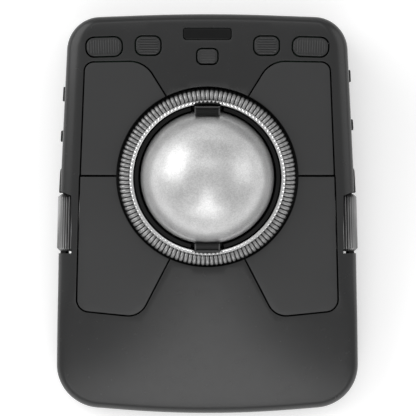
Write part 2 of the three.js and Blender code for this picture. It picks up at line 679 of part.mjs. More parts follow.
function innerFrame() {
  const { half, front, back, top, bottom, hole } = FRAME;
  const plate = box([-half, half], [front, back], [bottom, top], deckToCase);
  const opening = bar(hole, [0, 0, bottom - 3], [0, 0, top + 3], 32, deckToCase);
  const saddles = ["upper", "lower"].flatMap((level) => HINGE_X[level].flatMap((x) => (
    [hingeSaddle(x, HINGES[level]), hingeSaddle(-x, HINGES[level])]
  )));
  const underPlate = box([-half, half], [front, back], [bottom - 60, (top + bottom) / 2], deckToCase);
  const posts = SIDES.flatMap(([, side]) => POSTS.map(([x, y]) => (
    bar(POST_RADIUS, [side * x, y, BOARD.top + CLEARANCE], [side * x, y, 36], 8).intersect(underPlate)
  )));
  return meshOf("inner_frame", union([plate.subtract(opening), ...saddles, ...posts]), framePlastic);
}

function microSwitch(level, [sideName, side]) {
  const x = side * SWITCH_X;
  const v = SWITCH_V[level];
  const { halfX, halfV, bottom, top } = SWITCH;
  const body = box([x - halfX, x + halfX], [v - halfV, v + halfV], [bottom, top]);
  const plunger = bar(SWITCH.plungerRadius, [x, v, top - SINK], [x, v, SWITCH.plunger], 8);
  return meshOf(`${level}_${sideName}_switch`, body.add(plunger), framePlastic);
}

function ringEncoder() {
  const { x, v, w } = RING_ENCODER;
  return meshOf("ring_encoder", box(x, v, w), framePlastic);
}

// ---- Side rollers, each in a frame on its axle that is turned along the case side ----

function rollerGroup([sideName, side]) {
  const group = new THREE.Group();
  group.position.set(side * ROLLER.x, ROLLER.y, 0);
  group.rotation.z = side * ROLLER.turn;
  const { radius, half, chamfer, bore, z } = ROLLER;
  const profile = [
    [bore, -half], [radius - chamfer, -half], [radius, chamfer - half],
    [radius, half - chamfer], [radius - chamfer, half], [bore, half],
  ];
  const alongSide = new THREE.Matrix4().makeTranslation(0, 0, z)
    .multiply(new THREE.Matrix4().makeRotationX(-90 * DEGREE));
  const outwards = ([from, to]) => [side * from, side * to];
  const axleHole = bar(bore, [0, -20, z], [0, 25, z], 10);
  const uprights = [1, -1].map((end) => {
    const [near, far] = BRACKET.upright.map((y) => y * end);
    const upper = box(outwards(BRACKET.x), [near, far], [BRACKET.floor[0], z]);
    const cap = bar(BRACKET.cap, [0, near, z], [0, far, z], 12);
    const foot = box(outwards(BRACKET.footX), [near, far], [BASE.floor + CLEARANCE, BRACKET.floor[1]]);
    return union([upper, cap, foot]);
  });
  const floor = box(outwards(BRACKET.x), [-BRACKET.upright[1], BRACKET.upright[1]], BRACKET.floor);
  const bracket = union([...uprights, floor]).subtract(axleHole);
  const encoder = box(outwards(ENCODER.x), ENCODER.y, ENCODER.z).subtract(axleHole);
  const axle = bar(AXLE.radius, [0, AXLE.front, z], [0, AXLE.back, z], 8);
  group.add(meshOf(`${sideName}_roller`, turned(profile, 24, alongSide), ringAlloy));
  group.add(meshOf(`${sideName}_roller_axle`, axle, steel));
  group.add(meshOf(`${sideName}_roller_bracket`, bracket, framePlastic));
  group.add(meshOf(`${sideName}_roller_encoder`, encoder, framePlastic));
  return group;
}

// ---- Side controls: a knob through the case side on a wider plate behind it ----

function sideControl(name, { side, y, length, slides }) {
  const { z, height, proud, flange, flangeLip } = SIDE_CONTROL;
  const edge = caseHalfWidth(y);
  const behind = edge - COVER_WALL - WALL_DRAFT - CLEARANCE - (slides ? 0 : 0.2);
  const outwards = (from, to) => [side * from, side * to];
  const knob = box(
    outwards(behind - flange, edge + proud),
    [y - length / 2, y + length / 2],
    [z - height / 2, z + height / 2],
  );
  const plateHalf = length / 2 + flangeLip + (slides ? 2 * SIDE_CONTROL.travel : 0);
  const plate = box(
    outwards(behind - flange, behind),
    [y - plateHalf, y + plateHalf],
    [z - height / 2 - flangeLip, z + height / 2 + flangeLip],
  );
  return meshOf(name, knob.add(plate), keyPlastic);
}

// ---- Base, electronics and fasteners ----

function baseTray() {
  const { bottom, floor, edge, wallTop, lipTop, lip } = BASE;
  const ring = (distance, z) => CASE_OUTLINE.map(({ at, normal }) => {
    const point = at.clone().addScaledVector(normal, -distance);
    return new THREE.Vector3(point.x, point.y, z);
  });
  const slab = loft(
    [ring(BASE.inset + edge, bottom), ring(BASE.inset, bottom + edge), ring(BASE.inset, wallTop)],
    new THREE.Vector3(0, 0, bottom),
    new THREE.Vector3(0, 0, wallTop),
  );
  const within = (distance, heights) => prism(inset(CASE_CORNERS, distance), heights);
  const hollow = within(lip[0] - LIP_OVERLAP, [floor, wallTop + 1]);
  const screwPlaces = SIDES.flatMap(([, side]) => Object.values(SCREWS).map(([x, y]) => [side * x, y]));
  const risers = screwPlaces.map(([x, y]) => (
    bar(RISER.radius, [x, y, floor - SINK], [x, y, wallTop], 14).intersect(within(RISER.inset, [0, wallTop]))
  ));
  const bossRoom = screwPlaces.map(([x, y]) => (
    bar(BOSS.radius + 0.5, [x, y, wallTop], [x, y, lipTop + 1], 12)
  ));
  const recesses = screwPlaces.map(([x, y]) => bar(RISER.recess, [x, y, 0], [x, y, RISER.recessTop], 12));
  const holes = screwPlaces.map(([x, y]) => bar(BOSS.hole, [x, y, 0], [x, y, wallTop + 1], 8));
  const standoffs = SIDES.flatMap(([, side]) => POSTS.map(([x, y]) => (
    bar(POST_RADIUS, [side * x, y, floor - SINK], [side * x, y, BOARD.bottom - CLEARANCE], 8)
  )));
  const lipWall = without(
    within(lip[0], [floor - SINK, lipTop]),
    [within(lip[1], [0, lipTop + 1]), ...bossRoom],
  );
  const tray = union([slab.subtract(hollow), lipWall, ...risers, ...standoffs]);
  return meshOf("base_tray", without(tray, [...recesses, ...holes]), casePlastic);
}

function foot(name, [x, y], side) {
  const pad = { x: side * x, y, width: FOOT.length, depth: FOOT.width, radius: FOOT.corner };
  return meshOf(name, prism(roundedRectangle(pad), [0, BASE.bottom]), footPolymer);
}

function coverScrew(name, [x, y], side) {
  const { head, headBottom, headTop, shank, end } = SCREW;
  const profile = [
    [0, headBottom], [head, headBottom], [head, headTop],
    [shank, headTop], [shank, end], [0, end],
  ];
  const { half, halfWidth, depth } = CROSS_SLOT;
  const slot = box([-half, half], [-halfWidth, halfWidth], [0, headBottom + depth]);
  const mesh = meshOf(name, without(turned(profile, 10), [slot, slot.rotate([0, 0, 90])]), steel);
  mesh.position.set(side * x, y, 0);
  return mesh;
}

function mainBoard() {
  const corners = [...BOARD_RIGHT_CORNERS, ...mirrorX(BOARD_RIGHT_CORNERS)];
  const plate = prism(corners, [BOARD.bottom, BOARD.top]);
  const hole = bar(BOARD.hole, [BALL_CENTRE.x, BALL_CENTRE.y, 0], [BALL_CENTRE.x, BALL_CENTRE.y, 20], 24);
  const chips = CHIPS.map(({ x, y, height }) => box(x, y, [BOARD.top - SINK, BOARD.top + height]));
  return meshOf("main_board", union([plate.subtract(hole), ...chips]), boardGreen);
}

function usbSocket() {
  const { half, front, back, top } = USB;
  const shell = box([-half, half], [front, back], [BOARD.top, top]);
  const mouth = box([1 - half, half - 1], [front + 1, back + 1], [BOARD.top + 0.5, top - 0.5]);
  const tongue = box([-USB_TONGUE.half, USB_TONGUE.half], [USB_TONGUE.front, USB_TONGUE.back], USB_TONGUE.z);
  return meshOf("usb_socket", shell.subtract(mouth).add(tongue), steel);
}

function batteryPack() {
  const { half, front, back, bottom, top } = BATTERY;
  const pouch = { x: 0, y: (front + back) / 2, width: 2 * half, depth: back - front, radius: BATTERY.corner };
  return meshOf("battery_pack", prism(roundedRectangle(pouch), [bottom, top]), batteryWrap);
}

// The lead from the battery's rear face to the connector on the board.
function batteryLead() {
  const route = new THREE.CatmullRomCurve3(LEAD_ROUTE.map((point) => new THREE.Vector3(...point)));
  const sides = 6;
  const section = Array.from({ length: sides }, (_, i) => (
    new THREE.Vector2(LEAD_RADIUS, 0).rotateAround(new THREE.Vector2(), (i * 2 * Math.PI) / sides)
  ));
  const geometry = new THREE.ExtrudeGeometry(new THREE.Shape(section), { steps: 12, extrudePath: route });
  return meshOf("battery_lead", solid(geometry), keyPlastic);
}

// ---- Assembly ----

const trackballMouse = new THREE.Group();

deck.add(trackball(), scrollRing(), ringGuide(), ballCup());
deck.add(ballClip("rear_ball_clip", 1), ballClip("front_ball_clip", -1));
Object.entries(BEARING_AZIMUTHS).forEach(([name, azimuth]) => (
  deck.add(bearingBall(`ball_bearing_${name}`, azimuth))
));
deck.add(sensorParts(), ringEncoder());
deck.add(...["upper", "lower"].flatMap((level) => SIDES.map((side) => microSwitch(level, side))));

keyRow.add(keyBoard(), meshOf("indicator_lens", keyBody(WINDOW, 0), smokedPlastic));
Object.entries(KEYS).forEach(([name, key]) => keyRow.add(keyCap(name, key), tactSwitch(name, key)));

trackballMouse.add(topCover(), baseTray(), innerFrame());
trackballMouse.add(mainBoard(), usbSocket(), batteryPack(), batteryLead());
trackballMouse.add(...["upper", "lower"].flatMap((level) => SIDES.map((side) => mainButton(level, side))));
trackballMouse.add(...SIDES.map(rollerGroup));
trackballMouse.add(...Object.entries(SIDE_CONTROLS).map(([name, control]) => sideControl(name, control)));
SIDES.forEach(([sideName, side]) => {
  Object.entries(FEET).forEach(([end, place]) => (
    trackballMouse.add(foot(`${end}_${sideName}_foot`, place, side))
  ));
  Object.entries(SCREWS).forEach(([end, place]) => (
    trackballMouse.add(coverScrew(`${end}_${sideName}_screw`, place, side))
  ));
});
trackballMouse.add(deck, keyRow);
trackballMouse.position.y = MIDDLE_BEHIND_ORIGIN;

export default trackballMouse;
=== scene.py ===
import json
import math

import bpy
import numpy as np
from mathutils import Matrix, Vector
from mathutils.geometry import delaunay_2d_cdt


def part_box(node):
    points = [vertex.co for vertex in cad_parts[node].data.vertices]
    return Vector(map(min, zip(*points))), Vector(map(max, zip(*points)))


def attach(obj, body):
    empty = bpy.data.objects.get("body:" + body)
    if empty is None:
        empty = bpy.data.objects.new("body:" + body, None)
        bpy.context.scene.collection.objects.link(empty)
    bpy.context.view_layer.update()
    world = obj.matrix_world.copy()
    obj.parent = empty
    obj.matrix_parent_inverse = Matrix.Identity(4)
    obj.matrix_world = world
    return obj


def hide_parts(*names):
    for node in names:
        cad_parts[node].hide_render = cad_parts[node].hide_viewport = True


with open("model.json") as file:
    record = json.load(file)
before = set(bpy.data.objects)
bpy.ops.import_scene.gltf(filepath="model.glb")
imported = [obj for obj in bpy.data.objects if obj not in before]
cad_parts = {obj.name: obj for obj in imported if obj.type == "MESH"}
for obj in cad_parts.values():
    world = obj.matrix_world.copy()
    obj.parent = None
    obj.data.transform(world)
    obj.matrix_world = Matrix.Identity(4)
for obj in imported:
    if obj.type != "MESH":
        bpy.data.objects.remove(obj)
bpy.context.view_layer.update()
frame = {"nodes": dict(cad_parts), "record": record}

# Shapes are worked out in millimetres and scaled to metres when a piece is made.
MM = 0.001
SIDES = {"left": -1, "right": 1}

# ---- Driving dimensions ----
# They are the CAD model's, except that the outline's ends, the rear edges of the roller openings and the
# place where the edge rounding narrows were refined here afterwards.

# Half of the outline from the middle of the front to the middle of the back: x, y, corner radius.
CASE_RIGHT_CORNERS = [
    (0, -84.75, 460),
    (63.2, -79.9, 18),
    (61.1, 0, 1500),
    (56.9, 80.1, 13.9),
    (0, 82.2, 740),
]
# Largest angle in degrees and longest step in millimetres between the outline's points.
CASE_STEPS = (5, 3)
# An outline point further out than this is on one of the case's sides.
SIDE_FROM = 50
# From the middle of the case's length to the line the y values below are measured from.
DRAWING_SHIFT = 0.79
COVER_BOTTOM = 5.2
COVER_WALL = 2.2
BUTTON_WALL = 2.0
WALL_DRAFT = 0.8
DECK_TILT = math.radians(7)
# The deck is a tilted plane that falls away behind and ahead of two lines, and is crowned across.
DECK_LEVEL = {"height": 35, "y": 15}
REAR_FALL = {"from": 52, "rate": 0.0022}
FRONT_FALL = {"from": -24, "rate": 0.0034}
CROWN = {"rate": 0.0002, "palm_rate": 0.0011, "start": 5, "length": 50}
# How far the rounded case edge reaches inwards and down.
EDGE_ROUND = {"end": (3, 3), "side": (9, 5), "palm": (3.5, 3)}
EDGE_ROUND_FADE = {"start": -22, "length": 24}
GAP_HALF = 0.3
FILLET = 0.22
FILLET_TURNS = np.radians([90, 67.5, 45, 22.5, 0])
RING_OPENING = 37.2
BUTTON_RING_GAP = 37.3
BUTTON_CORNERS = {
    "upper": [(-52.2, 15.6, 0), (3.4, 15.6, 0), (-25.8, 62.4, 11), (-50.2, 62.0, 3.9)],
    "lower": [(-52.4, 15.4, 0), (-54.2, -40.2, 5.1), (-27.9, -42.8, 8.2), (2.3, 15.4, 0)],
}
# Name: x, y, width, depth, corner radius, yaw in degrees, and the way its ribs run.
KEYS = {
    "far_left_key": (-42.2, 68.2, 14.9, 8.1, 3.4, 1.7, "y"),
    "near_left_key": (-24.2, 68.7, 10.5, 7.9, 2.9, 0, "x"),
    "centre_key": (0, 64.3, 8.7, 6.5, 2.2, 0, "x"),
    "near_right_key": (24.2, 68.7, 10.5, 7.9, 2.9, 0, "x"),
    "far_right_key": (42.2, 68.2, 14.9, 8.1, 3.4, -1.7, "y"),
}
WINDOW = (0, 73.5, 19.7, 4.8, 1.3, 0)
WINDOW_FIT = {
    "opening": 0.12, "lens": -0.05, "sunk": 0.35, "fillet": 0.3, "depth": 3.0, "spacing": 0.9, "clear": 0.6,
}
KEY_CAP = {"raised": 0.18, "crown": 0.12, "fillet": 0.35, "depth": 3.1, "spacing": 0.9, "clear": 0.42}
ROLLER_NOTCH = {"x": 56.0, "front": -16.4, "back_inner": 7.4, "back_outer": 9.2, "bottom": 14.5}
# Name: side, y, length, and whether it slides.
SIDE_CONTROLS = {
    "left_slide_switch": (-1, 49.5, 6.0, True),
    "left_push_button": (-1, 32.1, 4.7, False),
    "right_slide_switch": (1, 57.0, 5.0, True),
    "right_push_button": (1, 36.8, 4.6, False),
}
SIDE_CONTROL = {"z": 20.0, "height": 3.5, "proud": 1.6, "travel": 1.25}
BASE = {
    "bottom": 1.2, "floor": 3.4, "top": 4.9, "inset": 0.9, "edge": 1.5, "lip": (3.6, 5.0), "lip_top": 7.1,
}
LABEL_BED = {"y": -10, "width": 70, "depth": 40, "corner": 4, "sunk": 0.4}
FEET = {"front": (38, -68), "rear": (40, 66)}
FOOT = {"length": 16, "width": 8, "corner": 3.2, "fillet": 0.35, "bed": 0.3, "spacing": 1.5, "clear": 0.8}
SCREWS = {"front": (52, -62), "rear": (50.8, 70.6)}
SCREW = {
    "head": 2.6, "bottom": 1.5, "top": 3.0, "shank": 1.1, "end": 12.0, "recess": 2.9,
    "slot": 0.8, "pitch": 0.9, "turns": 9,
}
# Half length and half width of a screw's cross slot, at its mouth and at its floor.
SLOT_MOUTH = (1.7, 0.42)
SLOT_FLOOR = (1.45, 0.24)
USB = {
    "half": 4.5, "front": 71.5, "back": 79.0, "bottom": 8.6, "top": 11.8, "wall": 0.4, "corner": 1.4,
    "clearance": 0.7,
}
# The socket's tongue: x, height, width, thickness, corner radius.
TONGUE = (0, 10.2, 5.6, 0.6, 0.2)
FENDER = {"front": 8.5, "back": 18.7, "proud": 0.6, "bottom": 12.0, "top": 28.6, "depth": 2.8, "fillet": 0.5}


# ---- Outlines ----

def unit(vector):
    return vector / np.linalg.norm(vector)


def turned(u, v, angle, x=0.0, y=0.0):
    """(u, v) turned by an angle and moved by (x, y)."""
    return x + u * math.cos(angle) - v * math.sin(angle), y + u * math.sin(angle) + v * math.cos(angle)


def corner_directions(corners, i):
    """The corner, and the directions in which the outline arrives at it and leaves it."""
    corner = np.array(corners[i][:2], float)
    before = np.array(corners[i - 1][:2], float)
    after = np.array(corners[(i + 1) % len(corners)][:2], float)
    return corner, unit(corner - before), unit(after - corner)


def outline(corners, arc_step=6, longest=2.4):
    """Points and outward normals along a counter-clockwise polygon of (x, y, corner radius)."""
    points, normals = [], []
    for i, (_, _, radius) in enumerate(corners):
        corner, arriving, leaving = corner_directions(corners, i)
        bend = math.acos(float(np.clip(arriving @ leaving, -1, 1)))
        normal = np.array([arriving[1], -arriving[0]])
        centre = corner - arriving * radius * math.tan(bend / 2) - normal * radius
        fewest = max(1, math.ceil(math.degrees(bend) / arc_step), math.ceil(radius * bend / longest))
        steps = fewest if radius else 0
        first = math.atan2(normal[1], normal[0])
        for k in range(steps + 1):
            angle = first + (bend * k / steps if steps else 0)
            facing = np.array([math.cos(angle), math.sin(angle)])
            points.append(centre + facing * radius)
            normals.append(facing)
    all_points, all_normals = [], []
    for i, (point, normal) in enumerate(zip(points, normals)):
        after, next_normal = points[(i + 1) % len(points)], normals[(i + 1) % len(points)]
        pieces = max(1, math.ceil(np.linalg.norm(after - point) / longest))
        for k in range(pieces):
            all_points.append(point + (after - point) * k / pieces)
            all_normals.append(unit(normal + (next_normal - normal) * k / pieces))
    return np.array(all_points), np.array(all_normals)


def inset(corners, distance):
    """The same polygon with every edge moved inwards."""
    moved = []
    for i, (_, _, radius) in enumerate(corners):
        corner, arriving, leaving = corner_directions(corners, i)
        left_of_arriving = np.array([-arriving[1], arriving[0]])
        inward = unit(left_of_arriving + np.array([-leaving[1], leaving[0]]))
        x, y = corner + inward * distance / (inward @ left_of_arriving)
        moved.append((x, y, max(0, radius - distance) if radius else 0))
    return moved


def mirrored(corners):
    return [(-x, y, radius) for x, y, radius in reversed(corners)]


def rounded_rectangle(x, y, width, depth, radius, yaw=0, grow=0.0):
    corners = []
    for i, j in ((-1, -1), (1, -1), (1, 1), (-1, 1)):
        place = turned(i * (width / 2 + grow), j * (depth / 2 + grow), math.radians(yaw), x, y)
        corners.append((*place, max(0.15, radius + grow)))
    return corners


def nearest_on(points, loop):
    """Each point's distance to a convex loop, negative inside, its nearest edge and its share along it."""
    start = loop
    along = np.roll(loop, -1, axis=0) - start
    length_squared = np.maximum((along ** 2).sum(1), 1e-12)
    results = []
    for block in np.array_split(points, max(1, len(points) // 3000 + 1)):
        offset = block[:, None] - start[None]
        share = np.clip((offset * along).sum(2) / length_squared, 0, 1)
        gap = np.linalg.norm(offset - share[..., None] * along, axis=2)
        edge = gap.argmin(1)
        rows = np.arange(len(block))
        inside = (along[:, 0] * offset[..., 1] - along[:, 1] * offset[..., 0] > 0).all(1)
        signed = np.where(inside, -1, 1) * gap[rows, edge]
        results.append((signed, edge, share[rows, edge]))
    return tuple(np.concatenate(column) for column in zip(*results))


def distance_to(points, loop):
    return nearest_on(points, loop)[0]


# ---- The case surface ----

CASE_CORNERS = CASE_RIGHT_CORNERS + mirrored(CASE_RIGHT_CORNERS[1:-1])


def with_crossings(points, normals, side, height):
    """The outline with one more point where it passes a y on one side."""
    for i in range(len(points)):
        j = (i + 1) % len(points)
        low, high = sorted((points[i][1], points[j][1]))
        if points[i][0] * side > SIDE_FROM and low < height < high:
            share = (height - points[i][1]) / (points[j][1] - points[i][1])
            point = points[i] + (points[j] - points[i]) * share
            return np.insert(points, i + 1, point, 0), np.insert(normals, i + 1, normals[i], 0)
    return points, normals


EDGE, EDGE_NORMALS = outline(CASE_CORNERS, *CASE_STEPS)
for side in SIDES.values():
    for notch_end in ("front", "back_outer"):
        EDGE, EDGE_NORMALS = with_crossings(EDGE, EDGE_NORMALS, side, ROLLER_NOTCH[notch_end])


def palm_share(y, start, length):
    """0 behind the start, 1 from a length ahead of it on, and a soft passage between."""
    share = np.clip((start - y) / length, 0, 1)
    return share * share * (3 - 2 * share)


def deck_height(points):
    x, y = points[:, 0], points[:, 1]
    behind = np.maximum(0, y - REAR_FALL["from"])
    ahead = np.maximum(0, FRONT_FALL["from"] - y)
    crown = CROWN["rate"] + CROWN["palm_rate"] * palm_share(y, CROWN["start"], CROWN["length"])
    level = DECK_LEVEL["height"] + math.tan(DECK_TILT) * (y - DECK_LEVEL["y"])
    return level - REAR_FALL["rate"] * behind ** 2 - FRONT_FALL["rate"] * ahead ** 2 - crown * x ** 2


def edge_rounding(points, normals):
    """How far the rounded case edge reaches inwards and down at each point."""
    sideways = normals[:, 0] ** 2
    palm = palm_share(points[:, 1], EDGE_ROUND_FADE["start"], EDGE_ROUND_FADE["length"])
    reaches = zip(EDGE_ROUND["end"], EDGE_ROUND["side"], EDGE_ROUND["palm"])
    return tuple(end + sideways * (beside - end + (ahead - beside) * palm) for end, beside, ahead in reaches)


def case_place(points):
    """Depth inside the case outline, and the outline's normal nearest to each point."""
    distance, edge, share = nearest_on(points, EDGE)
    ahead = EDGE_NORMALS[(edge + 1) % len(EDGE)]
    normal = EDGE_NORMALS[edge] * (1 - share[:, None]) + ahead * share[:, None]
    return -distance, normal / np.linalg.norm(normal, axis=1)[:, None]


def case_height(points):
    depth, normals = case_place(points)
    across, down = edge_rounding(points, normals)
    part = np.clip(1 - depth / across, 0, 1)
    return deck_height(points) - down * (1 - np.sqrt(1 - part ** 2))


EDGE_TOP = deck_height(EDGE) - edge_rounding(EDGE, EDGE_NORMALS)[1]


# ---- The ball's place and the deck's frame ----

low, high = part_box("trackball")
ball_centre = np.array((low + high) / 2) / MM - (0, DRAWING_SHIFT, 0)
ball_radius = (high.x - low.x) / 2 / MM
ring_y = ball_centre[1] - math.sin(DECK_TILT)
DECK = Matrix.Translation(Vector(ball_centre)) @ Matrix.Rotation(DECK_TILT, 4, "X")


# ---- Mesh making ----

def fillet_drop(distance, radius):
    """How far a rounded edge falls at a distance from it."""
    inside = np.clip(radius - distance, 0, radius)
    return radius - np.sqrt(radius ** 2 - inside ** 2)


def fillet_steps(radius):
    return radius * (1 - np.sin(FILLET_TURNS))


def triangulate(loops, loose, keep, open_lines=()):
    """Triangles through closed loops, open lines and loose points, where keep() holds at their middles."""
    points, edges = [], []
    for line, closed in [(loop, True) for loop in loops] + [(line, False) for line in open_lines]:
        first, count = len(points), len(line)
        points.extend(line)
        edges.extend((first + i, first + (i + 1) % count) for i in range(count if closed else count - 1))
    points.extend(loose)
    corners, _, faces = delaunay_2d_cdt([Vector(p) for p in points], edges, [], 0, 1e-7, False)[:3]
    corners = np.array([tuple(c) for c in corners])
    faces = np.array([tuple(f) for f in faces])
    faces = faces[keep(corners[faces].mean(1))]
    used, order = np.unique(faces, return_inverse=True)
    return corners[used], order.reshape(-1, 3)


def merged(vertices, faces, tolerance=0.004):
    """The same mesh with vertices at one place made one."""
    cells = np.round(vertices / tolerance).astype(np.int64)
    places = {}
    target = np.arange(len(vertices))
    for i, (cell, vertex) in enumerate(zip(cells, vertices)):
        for step in np.ndindex(3, 3, 3):
            key = (cell[0] + step[0] - 1, cell[1] + step[1] - 1, cell[2] + step[2] - 1)
            if key in places and np.linalg.norm(vertices[places[key]] - vertex) < tolerance:
                target[i] = places[key]
                break
        else:
            places[tuple(cell)] = i
    faces = [tuple(dict.fromkeys(target[list(face)])) for face in faces]
    faces = [face for face in faces if len(face) > 2]
    used, order = np.unique([v for face in faces for v in face], return_inverse=True)
    renumbered = iter(order)
    return vertices[used], [tuple(next(renumbered) for _ in face) for face in faces], used


def closed_shell(outer, inner, faces):
    """An outer skin, its partner skin inside it, and the edge faces between the two."""
    outer, faces, used = merged(outer, faces)
    inner = inner[used]
    count = len(outer)
    directed = {(face[i], face[(i + 1) % len(face)]) for face in faces for i in range(len(face))}
    rims = [(b, a, a + count, b + count) for a, b in directed if (b, a) not in directed]
    rims.sort()
    inner_faces = [tuple(v + count for v in reversed(face)) for face in faces]
    return np.concatenate([outer, inner]), list(faces) + inner_faces + rims


def make_piece(name, body, node, skin, materials, sharp=32, finishes=None):
    """A piece of vertices and faces on a body, in place of a CAD node; finishes is each face's material."""
    vertices, faces = skin
    mesh = bpy.data.meshes.new(name)
    placed = (np.asarray(vertices, float) + (0, DRAWING_SHIFT, 0)) * MM
    mesh.from_pydata([tuple(v) for v in placed], [], [tuple(map(int, f)) for f in faces])
    mesh.polygons.foreach_set("use_smooth", [True] * len(mesh.polygons))
    for material in materials:
        mesh.materials.append(material)
    if finishes is not None:
        mesh.polygons.foreach_set("material_index", [int(finish) for finish in finishes])
    mesh.set_sharp_from_angle(angle=math.radians(sharp))
    mesh.update()
    made = bpy.data.objects.new(name, mesh)
    bpy.context.scene.collection.objects.link(made)
    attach(made, body)
    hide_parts(node)


def slab(plan, outer, inner, faces):
    """A closed shell over a plan, between two heights at each point."""
    skins = (np.column_stack([plan, np.broadcast_to(height, len(plan))]) for height in (outer, inner))
    return closed_shell(*skins, faces)


def bands(count, rings, closed=True):
    """Faces between rings of count points each, from each ring to the one after it."""
    faces = []
    for ring in range(rings if closed else rings - 1):
        here, after = ring * count, (ring + 1) % rings * count
        for i in range(count):
            j = (i + 1) % count
            faces.append((here + i, after + i, after + j, here + j))
    return faces


def flipped(faces):
    """Four-sided faces turned to face the other way."""
    return [(a, d, c, b) for a, b, c, d in faces]


def tube(loops, flip=False):
    """A body through successive loops of points, with both ends closed."""
    count = len(loops[0])
    faces = bands(count, len(loops), False)
    last = (len(loops) - 1) * count
    ends = [tuple(range(count)), tuple(reversed(range(last, last + count)))]
    if flip:
        faces = flipped(faces)
        ends = [end[::-1] for end in ends]
    return np.concatenate(loops), faces + ends


def lathe(profile, segments, shaped=None):
    """A body of revolution about Z; shaped(angle) gives the profile at an angle, if it varies."""
    rings = []
    for angle in np.arange(segments) * 2 * math.pi / segments:
        radius, height = (np.array(profile, float) if shaped is None else shaped(angle)).T
        rings.append(np.column_stack([radius * math.cos(angle), radius * math.sin(angle), height]))
    return np.concatenate(rings), bands(len(profile), segments)


def joined(parts):
    """Several bodies' vertices and faces as one."""
    vertices, faces = [], []
    for part_vertices, part_faces in parts:
        first = sum(len(v) for v in vertices)
        faces += [tuple(int(v) + first for v in face) for face in part_faces]
        vertices.append(np.asarray(part_vertices, float))
    return np.concatenate(vertices), faces


def loose_grid(spacing, low, high):
    """Points of a staggered grid between two corners."""
    xs = np.arange(low[0], high[0], spacing)
    ys = np.arange(low[1], high[1], spacing * 0.87)
    return np.array([(x + (spacing / 2 if j % 2 else 0), y) for j, y in enumerate(ys) for x in xs])


def rounded_plan(corners, fillet, steps, clear, spacing=None, grid=None):
    """Points and triangles of a shape with a rounded edge, and each point's depth inside it."""
    edge = outline(corners, *steps)[0]
    contours = [outline(inset(corners, step), *steps)[0] for step in fillet_steps(fillet)]
    loose = loose_grid(spacing, edge.min(0), edge.max(0)) if grid is None else grid
    loose = loose[distance_to(loose, edge) < -clear]
    plan, faces = triangulate(contours, loose, lambda points: distance_to(points, edge) < 0)
    return plan, faces, -distance_to(plan, edge)


# ---- Materials ----

def grey(value, tint=0.0):
    return (value, value * (1 + tint / 2), value * (1 + tint), 1)


class Surface:
    """A procedural material being put together on object coordinates."""

    def __init__(self, name):
        self.material = bpy.data.materials.new(name)
        self.material.use_nodes = True
        self.tree = self.material.node_tree
        self.place = self.node("TexCoord", {}).outputs["Object"]

    def connect(self, node, inputs):
        """Sets a node's inputs: a socket is linked, anything else is a value."""
        for name, value in inputs.items():
            if isinstance(value, bpy.types.NodeSocket):
                self.tree.links.new(value, node.inputs[name])
            else:
                node.inputs[name].default_value = value
        return node

    def node(self, kind, inputs):
        return self.connect(self.tree.nodes.new("ShaderNode" + kind), inputs)

    def noise(self, scale, detail=2.0, roughness=0.5, place=None):
        inputs = {"Scale": scale, "Detail": detail, "Roughness": roughness, "Vector": place or self.place}
        return self.node("TexNoise", inputs).outputs["Fac"]

    def ramp(self, value, low, high, from_low=0.0, from_high=1.0):
        """A value mapped from one range to another."""
        inputs = {"From Min": from_low, "From Max": from_high, "To Min": low, "To Max": high, "Value": value}
        return self.node("MapRange", inputs).outputs["Result"]

    def mix(self, factor, dark, light):
        node = self.tree.nodes.new("ShaderNodeMix")
        node.data_type = "RGBA"
        return self.connect(node, {"A": dark, "B": light, "Factor": factor}).outputs["Result"]

    def bump(self, height, strength, distance):
        inputs = {"Strength": strength, "Distance": distance, "Height": height}
        return self.node("Bump", inputs).outputs["Normal"]

    def finish(self, inputs):
        self.connect(self.tree.nodes["Principled BSDF"], inputs)
        return self.material


def moulded_plastic(name, value, roughness, grain=0.00022, relief=0.12, tint=0.03, specular=0.45):
    """Moulded plastic: a fine spark-eroded grain, a slow mottle in gloss and a trace of colour variation."""
    made = Surface(name)
    return made.finish({
        "Base Color": made.mix(made.noise(45, 3), grey(value * 0.93, tint), grey(value * 1.07, tint)),
        "Roughness": made.ramp(made.noise(260), roughness - 0.015, roughness + 0.015, 0.3, 0.7),
        "Specular IOR Level": specular,
        "Normal": made.bump(made.noise(1 / grain, 3, 0.6), relief, 0.00004),
    })


def brushed_metal(name, value, roughness, scratch=(900, 900, 9000), relief=0.06):
    """Metal with fine machining marks; scratch is the noise scale along each axis."""
    made = Surface(name)
    stretched = made.node("Mapping", {"Scale": scratch, "Vector": made.place}).outputs["Vector"]
    marks = made.noise(1.0, 2, place=stretched)
    return made.finish({
        "Base Color": made.mix(made.noise(120, 3), grey(value * 0.9), grey(value * 1.08)),
        "Roughness": made.ramp(marks, roughness * 0.8, roughness * 1.25, 0.3, 0.7),
        "Metallic": 1.0,
        "Normal": made.bump(marks, relief, 0.00003),
    })


def pearl_resin(name):
    """Silver flakes in clear resin: flakes of their own brightness and tilt under a smooth coat."""
    made = Surface(name)
    flakes = made.node("TexVoronoi", {"Scale": 2600, "Vector": made.place}).outputs["Color"]
    flake = made.node("SeparateColor", {"Color": flakes}).outputs
    mixed = made.node("Math", {})
    mixed.operation = "MULTIPLY_ADD"
    clouds = made.ramp(made.noise(160, 3), 0.1, 0.4, 0.3, 0.7)
    made.connect(mixed, {0: flake["Red"], 1: 0.55, 2: clouds})
    return made.finish({
        "Base Color": made.mix(mixed.outputs["Value"], grey(0.48), grey(0.76)),
        "Roughness": made.ramp(flake["Green"], 0.36, 0.46),
        "Metallic": 0.7,
        "Coat Weight": 1.0,
        "Coat Roughness": 0.22,
        "Normal": made.bump(flake["Blue"], 0.35, 0.00003),
    })


